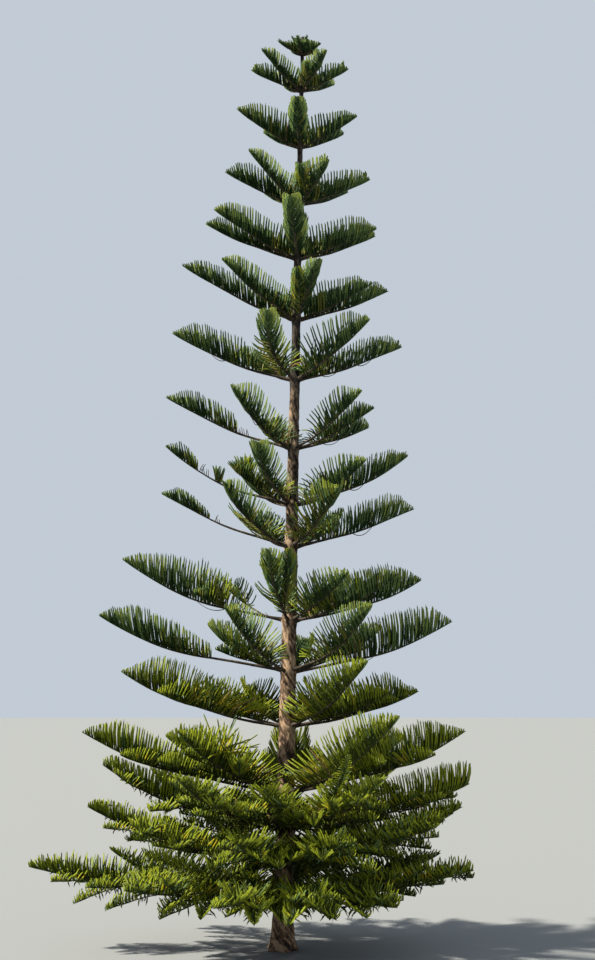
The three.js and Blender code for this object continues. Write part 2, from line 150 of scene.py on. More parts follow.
# Side shoots to both hands of every limb of a lower tier: (count, the last one's share of the reach).
HANDS_TABLE = {13: (2, 0.52), 14: (3, 0.6), 15: (5, 0.78), 16: (6, 0.85), 17: (6, 0.87)}
# The limbs (tier, number) of those tiers that have none.
CLEAR_LIMBS = {(13, 4), (14, 4)}
# How much longer or shorter than by the rule the branchlets of some limbs (tier, number) are, in all or
# at even steps from the inner end of the leafy part to the tip.
LENGTH_TABLE = {
    (2, 3): (0.75, 0.8, 0.85, 0.95), (3, 2): (1.24, 1.16, 0.98, 0.91), (3, 3): (1.0, 1.0, 0.94, 0.88),
    (3, 4): (1.12, 1.06, 0.95, 0.8), (4, 3): (1.0, 0.68, 0.7, 0.88), (4, 4): (1.35, 1.28, 1.18, 1.1),
    (5, 1): 0.83, (5, 2): (1.1, 0.92, 0.96, 1.0), (5, 4): (1.12, 1.1, 1.0), (5, 5): 1.04, (6, 2): 0.82,
    (6, 3): (0.78, 0.85, 0.95), (6, 4): (1.0, 0.92, 0.84, 0.78), (6, 5): (1.1, 1.1, 0.94, 0.72),
    (6, 6): 0.88, (7, 2): (1.18, 1.15, 0.98, 0.91), (7, 3): (0.8, 0.88, 1.0),
    (7, 4): (1.4, 1.36, 1.24, 1.15), (7, 5): 0.94, (8, 2): (1.05, 0.98, 0.84, 0.78),
    (8, 3): (0.88, 0.92, 1.12, 1.03), (8, 4): (0.8, 1.0, 1.03, 0.94), (9, 3): (0.9, 1.05, 1.3, 1.45),
    (9, 4): (0.7, 0.8, 0.98, 1.0), (9, 5): (1.3, 1.2, 1.08, 1.12), (9, 6): (1.06, 1.06, 1.0, 0.94),
    (10, 2): (0.5, 0.7, 0.84, 0.86), (10, 3): (0.78, 0.9, 1.04), (10, 4): (0.8, 1.08, 1.25, 1.1),
    (10, 5): (1.1, 1.1, 1.08, 0.98), (11, 1): 0.85, (11, 2): (1.15, 1.36, 1.04, 0.89),
    (11, 3): (0.66, 0.92, 1.12), (11, 4): (1.55, 1.25, 1.05, 1.0), (11, 5): 1.04,
    (11, 6): (1.28, 1.34, 1.2, 1.02), (11, 7): 1.12, (12, 2): (0.86, 1.08, 1.1, 0.88),
    (12, 5): (1.25, 1.22, 1.18, 1.1), (13, 3): 1.12, (14, 2): (0.74, 0.76, 0.88, 1.15),
    (15, 2): (0.8, 0.88, 1.0, 1.2), (15, 4): 1.1, (16, 2): (0.66, 0.72, 0.85, 1.0),
}
# The share of the branchlets that is left on some limbs (tier, number).
SPARSE_TABLE = {(11, 1): 0.45}


class Tone(IntEnum):
    """Colours of foliage, dealt out by branchlet."""

    DRY = 0
    OLIVE = 1
    DEEP = 2
    LEAF = 3
    FRESH = 4
    BRIGHT = 5
    MOSS = 6
    GOLD = 7
    LIME = 8
    FERN = 9


# Tufts, by tier: (limb's number, share of the reach, lift, count, length, widest opening, tone).
TUFT_TABLE = {
    2: [(5, 0.88, 0, 8, 0.19, 15, Tone.FRESH), (2, 0.88, 0, 8, 0.18, 15, Tone.FRESH)],
    4: [(5, 0.94, 0, 8, 0.17, 22, Tone.FRESH), (4, 0.86, 0, 9, 0.23, 20, Tone.FRESH)],
    7: [(5, 0.95, 0, 8, 0.17, 24, Tone.FRESH)],
    8: [(3, 0.08, 0, 6, 0.36, 24, Tone.DRY)],
    9: [
        (2, 0.585, 0.02, 26, 0.25, 21, Tone.LEAF), (6, 0.96, 0, 7, 0.14, 22, Tone.FRESH),
        (3, 0.95, -0.01, 26, 0.25, 50, Tone.OLIVE), (3, 0.80, 0.08, 30, 0.34, 30, Tone.MOSS),
        (4, 0.10, 0, 7, 0.36, 24, Tone.DRY),
    ],
    10: [
        (4, 0.10, 0, 5, 0.30, 24, Tone.DRY), (4, 0.90, 0, 18, 0.19, 30, Tone.MOSS),
        (3, 0.90, 0, 14, 0.20, 26, Tone.MOSS),
    ],
    11: [(3, 0.74, 0, 26, 0.33, 44, Tone.MOSS)],
    12: [(3, 0.89, 0, 18, 0.24, 26, Tone.MOSS), (4, 0.91, 0, 20, 0.21, 28, Tone.MOSS)],
    14: [(3, 0.60, 0.20, 30, 0.64, 92, Tone.GOLD)],
}
# Long branchlets that curve up and away beside a limb, by tier: (limb's number, hand, share of the reach
# from where to where, count, length, opening from upright, tone).
ARC_TABLE = {
    7: [(3, -1, 0.20, 0.62, 11, 0.48, 64, Tone.OLIVE)],
    10: [(3, -1, 0.18, 0.56, 15, 0.80, 56, Tone.OLIVE)],
    11: [(3, -1, 0.34, 0.48, 5, 0.62, 56, Tone.LEAF)],
    13: [(4, -1, 0.16, 0.34, 7, 0.50, 60, Tone.GOLD)],
    14: [(4, -1, 0.12, 0.30, 8, 0.56, 62, Tone.GOLD)],
}
# Dead twigs that hang in a loop under a limb, by tier: (limb's number, share, share, depth).
LOOP_TABLE = {
    7: [(2, 0.57, 0.68, 0.045), (5, 0.58, 0.71, 0.045), (5, 0.25, 0.39, 0.035)],
    8: [(3, 0.52, 0.71, 0.05), (3, 0.38, 0.52, 0.05), (6, 0.39, 0.6, 0.05)],
    9: [(6, 0.5, 0.62, 0.045)],
    10: [(5, 0.5, 0.66, 0.075), (3, 0.3, 0.62, 0.06)],
    11: [(2, 0.38, 0.55, 0.07)],
    12: [(5, 0.4, 0.52, 0.05)],
}
# Dead twigs that stand on a limb, by tier: (limb's number, share of the reach, count, length).
STUB_TABLE = {
    8: [(2, 0.35, 5, 0.17), (2, 0.42, 2, 0.11)],
    9: [(2, 0.66, 4, 0.16), (2, 0.71, 4, 0.16)],
    10: [(2, 0.55, 3, 0.12)],
    11: [(2, 0.13, 1, 0.09), (2, 0.18, 1, 0.07), (2, 0.24, 2, 0.1)],
}


@dataclass(frozen=True)
class Bend:
    """How a limb bends on its way out, and how it differs from the CAD model's limb.

    The first slope is a share of the mean one, and the rest of the climb grows by the power. The bow
    goes sideways. The part of the reach and the turn in degrees are against the solid's.
    """

    first_slope: float
    power: float = 2.0
    bow: float = 0.0
    part: float = 1.0
    turn: float = 0.0


# The bends of some limbs (tier, number).
BEND_TABLE = {
    (7, 2): Bend(0.55, 2.3), (7, 3): Bend(0.62, bow=-0.16, part=0.97, turn=1.7), (8, 2): Bend(0.53),
    (8, 3): Bend(0.52, bow=-0.07, turn=2.0), (8, 4): Bend(0.46), (9, 3): Bend(0.45),
    (9, 4): Bend(0.6, bow=-0.12, part=0.95, turn=0.5), (10, 2): Bend(0.57), (10, 3): Bend(0.5, bow=-0.13),
    (10, 4): Bend(0.52, bow=0.03, part=0.97), (10, 5): Bend(0.6), (11, 2): Bend(0.45, 3.0),
    (11, 3): Bend(0.55, bow=-0.03), (11, 4): Bend(0.5), (12, 2): Bend(0.51, 3.7),
    (12, 3): Bend(0.5, bow=-0.03), (12, 4): Bend(0.35, bow=0.12), (13, 4): Bend(0.42, bow=0.06),
}
UPPER_BEND = Bend(0.6)
LOWER_BEND = Bend(0.5, 3.0)
FIRST_LOWER_BEND = 9
# Tiers whose limbs' roots are staggered up and down, so that neighbours don't meet.
STAGGERED_TIERS = range(8, 13)
STAGGER = 0.014
# Short shoots round the leader, as limbs are listed.
LEADER_TABLE = [
    (-52, 0.24, 0.225), (22, 0.22, 0.215), (98, 0.23, 0.22), (172, 0.24, 0.225), (-112, 0.23, 0.22),
]
LEADER_LIFT = 0.06
LEADER_BARE = 0.02
LEADER_GIRTH = 0.6
# A limb's seed is this times its tier's number plus its index. Those of the leader's shoots are apart.
TIER_SEEDS = 100
LEADER_SEED = 150


class Slot(IntEnum):
    """The record's material slots, in the record's order."""

    TRUNK_BARK = 0
    BOUGH_BARK = 1
    FOLIAGE = 2
    LOW_FOLIAGE = 3

    @property
    def label(self) -> str:
        """The slot's name in the record."""
        return self.name.lower()


@dataclass(frozen=True)
class Vary:
    """A measure that varies evenly by some spread to each side."""

    middle: float
    spread: float

    def draw(self, random: Random, count: int) -> Array:
        """Draws a number of values, from middle - spread to middle + spread."""
        return self.middle + self.spread * random.uniform(-1, 1, count)


@dataclass(frozen=True)
class Profile:
    """A measure along a frond, given at a few shares of its leafy length, that also varies."""

    shares: tuple[float, ...]
    values: tuple[float, ...]
    spread: float = 0.0

    def draw(self, random: Random, share: Array) -> Array:
        """Draws a value at each share of the leafy length, from 0 at its inner end to 1 at the tip."""
        middle = np.interp(share, self.shares, self.values)
        return middle + self.spread * random.uniform(-1, 1, len(share))


def unit(vectors: Array) -> Array:
    """Returns the vectors of an array, each at a length of one."""
    return vectors / np.maximum(np.linalg.norm(vectors, axis=-1, keepdims=True), 1e-9)


def outward(azimuth: float) -> Array:
    """Returns the level direction that points away from the trunk at an azimuth in degrees."""
    turn = math.radians(azimuth)
    return np.array([math.sin(turn), -math.cos(turn), 0.0])


def between(first: Array, second: Array, angle: Array) -> Array:
    """Returns the directions at angles in radians from a first direction towards a second one."""
    return np.cos(angle) * first + np.sin(angle) * second


def ease(values: Array) -> Array:
    """Returns a smooth step from 0 to 1 of values that are first held to that range."""
    held = np.clip(values, 0, 1)
    return held * held * (3 - 2 * held)


@dataclass(frozen=True)
class Limb:
    """A limb or side shoot, which leaves its root and climbs more steeply towards its tip."""

    root: Array
    azimuth: float
    reach: float
    rise: float
    bare: float
    seed: int
    girth: float = 1.0
    bend: Bend = UPPER_BEND
    root_radius: float = 0.027
    tip_radius: float = 0.006
    least_girth: float = 0.45
    girth_reach: float = 3.6
    sway: float = 0.009
    sway_pace: float = 7.5
    heave: float = 0.006
    heave_pace: float = 9.0
    heave_phase: float = 1.7
    seed_phase: float = 2.4

    @property
    def place(self) -> tuple[int, int]:
        """The tier's number and the limb's own number in it."""
        return self.seed // TIER_SEEDS, self.seed % TIER_SEEDS + 1

    @property
    def out(self) -> Array:
        """The level direction that the limb grows in."""
        return outward(self.azimuth)

    @property
    def side(self) -> Array:
        """The level direction across the limb, towards a larger azimuth."""
        return np.cross(UP, self.out)

    def climb(self, distance: Array) -> Array:
        """Returns the height gained at level distances from the root."""
        share = np.asarray(distance) / self.reach
        slope = self.bend.first_slope
        return self.rise * (slope * share + (1 - slope) * np.abs(share) ** self.bend.power)

    def point(self, distance: Array) -> Array:
        """Returns the points of the limb's line at level distances from the root."""
        level = np.asarray(distance, float)[..., None]
        share = level / self.reach
        phase = self.seed * self.seed_phase
        fade = 4 * share * (1 - share)
        sway = self.sway * self.reach * fade * np.sin(self.sway_pace * share + phase)
        aside = self.bend.bow * fade + sway
        lift = self.heave * self.reach * fade * np.sin(self.heave_pace * share + self.heave_phase * phase)
        return self.root + level * self.out + (self.climb(level) + lift) * UP + aside * self.side

    def along(self, distance: Array) -> Array:
        """Returns the limb's direction at level distances from the root."""
        step = 0.001
        near = self.point(np.asarray(distance) - step)
        return unit(self.point(np.asarray(distance) + step) - near)

    def above(self, distance: Array) -> Array:
        """Returns the direction square to the limb and its side, on its upper face."""
        return np.cross(self.along(distance), self.side)

    def radius(self, distance: Array) -> Array:
        """Returns the limb's radius at level distances from the root."""
        root = self.root_radius * self.girth * min(1.0, self.least_girth + self.reach / self.girth_reach)
        return root + (self.tip_radius - root) * np.asarray(distance) / self.reach


@dataclass(frozen=True)
class TrunkForm:
    """The trunk's line and girth, as the CAD model has them."""

    foot_radius: float = 0.170
    taper: float = 0.00907
    tip_radius: float = 0.009
    lean: float = 0.0218
    flare_radius: float = 0.080
    flare_height: float = 0.230
    flare_lobes: int = 5
    flare_lobe_depth: float = 0.034

    def axis(self, height: Array) -> Array:
        """Returns the points of the trunk's axis at some heights."""
        level = np.asarray(height, float)[..., None]
        return level * np.array([self.lean, 0.0, 1.0])

    def shaft(self, height: Array) -> Array:
        """Returns the radius without the root flare."""
        return np.maximum(self.foot_radius - self.taper * np.asarray(height), self.tip_radius)

    def radius(self, height: Array, angle: Array) -> Array:
        """Returns the radius with the root flare at heights and angles in radians from +X."""
        fade = np.exp(-np.asarray(height) / self.flare_height)
        lobes = self.flare_lobe_depth * np.cos(self.flare_lobes * np.asarray(angle))
        return self.shaft(height) + fade * (self.flare_radius + lobes)


TRUNK = TrunkForm()


@dataclass(frozen=True)
class Tier:
    """One whorl of limbs."""

    number: int
    height: float
    limbs: tuple[Limb, ...]
    first_low: int = 13
    roof_overhang: float = 0.25
    roof_gap: float = 0.07
    widest_turn: float = 80.0

    @property
    def is_low(self) -> bool:
        """True for the dense lower tiers."""
        return self.number >= self.first_low

    @property
    def label(self) -> str:
        """The start of the names of this tier's pieces."""
        return f"tier_{self.number:02d}"

    @property
    def slot(self) -> Slot:
        """The record's slot of this tier's foliage."""
        return Slot.LOW_FOLIAGE if self.is_low else Slot.FOLIAGE

    def rows(self, table: dict[int, list[tuple]]) -> list[tuple]:
        """Returns the tier's rows of a table, with the limb itself in place of its number."""
        return [(self.limbs[number - 1], *row) for number, *row in table.get(self.number, [])]

    def underside(self, distance: Array) -> Array:
        """Returns the height of the lowest limb that hangs over each distance from the axis."""
        lowest = np.full(np.shape(distance), HEIGHT)
        for limb in self.limbs:
            height = limb.root[2] + limb.climb(np.minimum(distance, limb.reach))
            covers = limb.reach + self.roof_overhang > distance
            lowest = np.where(covers, np.minimum(lowest, height), lowest)
        return lowest - self.roof_gap

    def half_sector(self, limb: Limb) -> tuple[float, float]:
        """Finds how far round a limb's own frond may spread.

        Args:
            limb: One of this tier's limbs.

        Returns:
            The tangents of the half-angles towards larger and smaller azimuths.
        """
        turns = [(other.azimuth - limb.azimuth + 540) % 360 - 180 for other in self.limbs]
        right = min([turn for turn in turns if turn > 0] + [self.widest_turn])
        left = min([-turn for turn in turns if turn < 0] + [self.widest_turn])
        return math.tan(math.radians(right / 2)), math.tan(math.radians(left / 2))


def leader_shoots(tier: Tier) -> list[Limb]:
    """Lists the short shoots round the leader, which leave it at the top tier."""
    root = TRUNK.axis(tier.height + LEADER_LIFT)
    return [
        Limb(root, azimuth, reach, rise, LEADER_BARE, LEADER_SEED + index, LEADER_GIRTH)
        for index, (azimuth, reach, rise) in enumerate(LEADER_TABLE)
    ]


def make_tiers() -> dict[int, Tier]:
    """Makes every tier from the table.

    Returns:
        The tiers by number, from the top down.
    """
    tiers = {}
    for number, (height, usual_bare, rows) in TIER_TABLE.items():
        usual_bend = UPPER_BEND if number < FIRST_LOWER_BEND else LOWER_BEND
        limbs = []
        for index, (azimuth, reach, rise, *bare) in enumerate(rows):
            shift = STAGGER * (1 if index % 2 else -1) if number in STAGGERED_TIERS else 0.0
            bend = BEND_TABLE.get((number, index + 1), usual_bend)
            limbs.append(Limb(
                TRUNK.axis(height + shift), azimuth + bend.turn, reach * bend.part, rise * bend.part,
                bare[0] if bare else usual_bare, TIER_SEEDS * number + index, bend=bend,
            ))
        tiers[number] = Tier(number, height, tuple(limbs))
    return tiers


class Stock:
    """Collects points and triangles with a tone each, and joins them into one mesh."""

    def __init__(self) -> None:
        """Starts empty."""
        self.points: list[Array] = []
        self.faces: list[Array] = []
        self.tones: list[Array] = []
        self.count = 0

    def add(self, points: Array, faces: Array, tones: Array | int = 0) -> None:
        """Adds a patch of triangles.

        Args:
            points: Corners, one row each.
            faces: Triangles as rows of three indices into points.
            tones: A material number for each triangle, or one for all.
        """
        self.points.append(points.reshape(-1, 3))
        self.faces.append(faces.reshape(-1, 3) + self.count)
        self.tones.append(np.broadcast_to(tones, len(self.faces[-1])))
        self.count += len(self.points[-1])

    def build(self, name: str, finishes: list[Material], smooth: bool = False) -> Piece:
        """Joins what was added.

        Args:
            name: The new object's name.
            finishes: Materials by tone number. The mesh keeps those that it uses.
            smooth: True to shade the faces smooth.

        Returns:
            The object, with its place in its mesh.
        """
        points = np.concatenate(self.points).astype(np.float32)
        faces = np.concatenate(self.faces).astype(np.int32)
        used, slots = np.unique(np.concatenate(self.tones), return_inverse=True)
        mesh = bpy.data.meshes.new(name)
        mesh.vertices.add(len(points))
        mesh.vertices.foreach_set("co", points.ravel())
        mesh.loops.add(faces.size)
        mesh.loops.foreach_set("vertex_index", faces.ravel())
        mesh.polygons.add(len(faces))
        mesh.polygons.foreach_set("loop_start", np.arange(0, faces.size, 3, dtype=np.int32))
        for tone in used:
            mesh.materials.append(finishes[tone])
        mesh.polygons.foreach_set("material_index", slots.astype(np.int32))
        mesh.polygons.foreach_set("use_smooth", np.full(len(faces), smooth))
        mesh.update(calc_edges=True)
        mesh.validate()
        piece = bpy.data.objects.new(name, mesh)
        bpy.context.scene.collection.objects.link(piece)
        return piece


class Socket:
    """A shader value that plain operators work on, each adding one Math node."""

    def __init__(self, bench: "Bench", output: bpy.types.NodeSocket) -> None:
        """Wraps an output socket of the bench's node tree."""
        self.bench = bench
        self.output = output

    def _math(self, operation: str, first: object, second: object) -> "Socket":
        """Adds a Math node on two values and returns its result."""
        return self.bench.node("ShaderNodeMath", {"operation": operation}, {0: first, 1: second})

    def __add__(self, other: object) -> "Socket":
        """Adds a value or another socket."""
        return self._math("ADD", self, other)

    def __rsub__(self, other: object) -> "Socket":
        """Takes this socket away from a value."""
        return self._math("SUBTRACT", other, self)

    def __mul__(self, other: object) -> "Socket":
        """Multiplies by a value or another socket."""
        return self._math("MULTIPLY", self, other)

    def __rmul__(self, other: object) -> "Socket":
        """Multiplies a value by this socket."""
        return self._math("MULTIPLY", other, self)


class Bench:
    """Builds the node tree of one material."""

    def __init__(self, name: str) -> None:
        """Makes the material with its Principled shader."""
        self.material = bpy.data.materials.new(name)
        self.material.use_nodes = True
        self.tree = self.material.node_tree
        self.shader = self.tree.nodes["Principled BSDF"]

    def node(
        self, kind: str, settings: dict | None = None, inputs: dict | None = None, output: int | str = 0,
    ) -> Socket:
        """Adds a node.

        Args:
            kind: The node's type.
            settings: Its properties, or "stops" for a ramp as (place, colour) pairs.
            inputs: Values or sockets by input name or number.
            output: The output to return.

        Returns:
            The chosen output.
        """
        made = self.tree.nodes.new(kind)
        for key, value in (settings or {}).items():
            if key == "stops":
                ramp = made.color_ramp.elements
                while len(ramp) < len(value):
                    ramp.new(1.0)
                for element, (place, colour) in zip(ramp, value, strict=True):
                    element.position = place
                    element.color = (*colour, 1.0)
            else:
                setattr(made, key, value)
        for key, value in (inputs or {}).items():
            self.feed(made.inputs[key], value)
        return Socket(self, made.outputs[output])

    def feed(self, target: bpy.types.NodeSocket, value: object) -> None:
        """Links a socket to an input, or sets the input's value."""
        if isinstance(value, Socket):
            self.tree.links.new(value.output, target)
        else:
            target.default_value = value

    def set(self, **values: object) -> None:
        """Feeds the shader's inputs, with underscores in place of the spaces in their names."""
        for key, value in values.items():
            self.feed(self.shader.inputs[key.replace("_", " ")], value)

    def spot(self, scale: Triple = (1.0, 1.0, 1.0)) -> Socket:
        """Returns Object coordinates, stretched by a scale."""
        place = self.node("ShaderNodeTexCoord", output="Object")
        return self.node("ShaderNodeMapping", inputs={"Vector": place, "Scale": scale})

    def noise(self, place: Socket, scale: float, detail: float, roughness: float) -> Socket:
        """Returns a noise value at a place."""
        inputs = {"Vector": place, "Scale": scale, "Detail": detail, "Roughness": roughness}
        return self.node("ShaderNodeTexNoise", inputs=inputs)

    def ramp(self, value: Socket, stops: Stops) -> Socket:
        """Returns a colour from a value by a ramp of (place, colour) stops."""
        return self.node("ShaderNodeValToRGB", {"stops": stops}, {"Fac": value})

    def tint(self, first: Socket, second: Socket) -> Socket:
        """Returns the product of two colours."""
        settings = {"data_type": "RGBA", "blend_type": "MULTIPLY"}
        return self.node("ShaderNodeMix", settings, {0: 1.0, 6: first, 7: second}, output=2)

    def bump(self, height: Socket, strength: float, distance: float) -> Socket:
        """Returns a normal bumped by a height."""
        inputs = {"Height": height, "Strength": strength, "Distance": distance}
        return self.node("ShaderNodeBump", inputs=inputs)


@dataclass(frozen=True)
class NeedleFinish:
    """The waxy skin of needles and green cords, in one plain tone."""

    tone: Tone
    colour: Triple
    roughness: float = 0.6
    specular: float = 0.08

    def make(self) -> Material:
        """Makes the material."""
        bench = Bench(f"needles_{self.tone.name.lower()}")
        bench.set(Base_Color=(*self.colour, 1.0), Roughness=self.roughness, Specular_IOR_Level=self.specular)
        bench.material.diffuse_color = (*self.colour, 1.0)
        return bench.material


NEEDLE_FINISHES = (
    NeedleFinish(Tone.DRY, (0.160, 0.105, 0.045), 0.85),
    NeedleFinish(Tone.OLIVE, (0.108, 0.115, 0.021)),
    NeedleFinish(Tone.DEEP, (0.019, 0.038, 0.013)),
    NeedleFinish(Tone.LEAF, (0.062, 0.105, 0.033)),
    NeedleFinish(Tone.FRESH, (0.100, 0.150, 0.046)),
    NeedleFinish(Tone.BRIGHT, (0.165, 0.205, 0.044)),
    NeedleFinish(Tone.MOSS, (0.106, 0.136, 0.010)),
    NeedleFinish(Tone.GOLD, (0.240, 0.205, 0.010)),
    NeedleFinish(Tone.LIME, (0.165, 0.198, 0.012)),
    NeedleFinish(Tone.FERN, (0.036, 0.050, 0.007)),
)


@dataclass(frozen=True)
class TrunkBark:
    """Reddish tan bark: the relief's ridges are pale, its fissures dark, with a fine mottling.

    Each noise has its scale, detail and roughness. By height the bark is darker up the trunk, as painted
    shade of the whorls above, and lighter at its foot, as painted light, by a ramp of stops by height.
    """

    name: str = "trunk_bark_finish"
    tint: Stops = (
        (0.40, (0.018, 0.012, 0.009)), (0.48, (0.105, 0.072, 0.048)), (0.58, (0.330, 0.238, 0.158)),
    )
    worn: Stops = ((0.40, (0.72, 0.72, 0.75)), (0.62, (1.10, 1.04, 0.98)))
    # Painted shade and light by height: darker up the trunk as shade of the whorls, lighter at the foot.
    painted_light_and_shade: Stops = (
        (0.20, (1.30, 1.24, 1.16)), (0.34, (1.0, 1.0, 1.0)), (0.50, (0.72, 0.76, 0.78)),
        (0.57, (0.70, 0.73, 0.75)), (0.60, (0.24, 0.27, 0.32)),
    )
    ridge_share: float = 0.30
    mottle_share: float = 0.32
    streak_share: float = 0.38
    roughness: float = 0.98
    smoothing: float = 0.15
    specular: float = 0.2
    bump_strength: float = 0.9
    mottle: Triple = (30.0, 4.0, 0.65)
    mottle_stretch: Triple = (1.0, 1.0, 0.6)
    streaks: Triple = (26.0, 3.0, 0.6)
    patches: Triple = (5.5, 3.0, 0.55)
    patch_stretch: Triple = (1.0, 1.0, 0.5)
    bump_depth: float = 0.014

    def make(self) -> Material:
        """Makes the material."""
        bench = Bench(self.name)
        ridge = bench.node("ShaderNodeAttribute", {"attribute_name": "ridge"}, output="Fac")
        grain = bench.node("ShaderNodeAttribute", {"attribute_name": "grain"}, output="Vector")
        mottle = bench.noise(bench.spot(self.mottle_stretch), *self.mottle)
        streak = bench.noise(grain, *self.streaks)
        patches = bench.noise(bench.spot(self.patch_stretch), *self.patches)
        value = ridge * self.ridge_share + mottle * self.mottle_share + streak * self.streak_share
        tint, worn = bench.ramp(value, self.tint), bench.ramp(patches, self.worn)
        # Painted shade and light: the bark's tint is darkened up the trunk and lightened at its foot by
        # height.
        height = bench.node("ShaderNodeSeparateXYZ", inputs={"Vector": bench.spot()}, output="Z")
        painted_light_and_shade = bench.ramp(height * (1 / HEIGHT), self.painted_light_and_shade)
        bench.set(
            Base_Color=bench.tint(bench.tint(tint, worn), painted_light_and_shade),
            Roughness=self.roughness - self.smoothing * mottle,
            Specular_IOR_Level=self.specular,
            Normal=bench.bump(value, self.bump_strength, self.bump_depth),
        )
        return bench.material


@dataclass(frozen=True)
class BoughBark:
    """Dark brown bark of the limbs, with paler worn patches. Noises are as in TrunkBark."""

    name: str = "bough_bark_finish"
    tint: Stops = (
        (0.40, (0.014, 0.011, 0.008)), (0.52, (0.042, 0.032, 0.023)), (0.66, (0.125, 0.098, 0.072)),
    )
    grain_share: float = 0.6
    patch_share: float = 0.4
    roughness: float = 0.97
    smoothing: float = 0.15
    specular: float = 0.2
    bump_strength: float = 0.8
    grain: Triple = (42.0, 4.0, 0.6)
    patches: Triple = (6.0, 2.0, 0.5)
    bump_depth: float = 0.006

    def make(self) -> Material:
        """Makes the material."""
        bench = Bench(self.name)
        grain = bench.noise(bench.spot(), *self.grain)
        patches = bench.noise(bench.spot(), *self.patches)
        bench.set(
            Base_Color=bench.ramp(grain * self.grain_share + patches * self.patch_share, self.tint),
            Roughness=self.roughness - self.smoothing * grain,
            Specular_IOR_Level=self.specular,
            Normal=bench.bump(grain, self.bump_strength, self.bump_depth),
        )
        return bench.material


def ring_noise(angle: Array, height: Array, around: int, pitch: float, seed: int) -> Array:
    """Smooth noise on a round stem that closes on itself.

    Args:
        angle: Angles round the stem in radians.
        height: Places along the stem.
        around: How many cells the noise has round the stem.
        pitch: The length of a cell along the stem.
        seed: The seed of the cells' values.

    Returns:
        Values from -1 to 1.
    """
    turn = (np.asarray(angle) / (2 * math.pi)) % 1.0 * around
    rise = np.asarray(height) / pitch
    rows = int(rise.max()) + 3
    cells = np.random.default_rng(seed).uniform(-1, 1, (rows, around))
    column, row = np.floor(turn).astype(int), np.floor(rise).astype(int)
    across, up = ease(turn - column), ease(rise - row)
    left, right = column % around, (column + 1) % around
    low = cells[row, left] * (1 - across) + cells[row, right] * across
    high = cells[row + 1, left] * (1 - across) + cells[row + 1, right] * across
    return low * (1 - up) + high * up


def places_of(mesh: bpy.types.Mesh) -> Array:
    """Returns the places of a mesh's vertices, one row each."""
    places = np.empty(len(mesh.vertices) * 3, np.float32)
    mesh.vertices.foreach_get("co", places)
    return places.reshape(-1, 3)


def select_only(piece: Piece) -> None:
    """Deselects everything and makes one object the active, selected one."""
    bpy.ops.object.select_all(action="DESELECT")
    piece.select_set(True)
    bpy.context.view_layer.objects.active = piece


def ride(piece: Piece, slot: Slot, nodes: list[str]) -> None:
    """Seats a finished piece on the tree.

    Args:
        piece: The piece.
        slot: The record's slot that its finish is from. Not used.
        nodes: The CAD nodes that it stands for.
    """
    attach(piece, "root")
    if nodes:
        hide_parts(*nodes)
    faces = sum(len(polygon.vertices) - 2 for polygon in piece.data.polygons)
    LOG.info("%s: %d triangles", piece.name, faces)


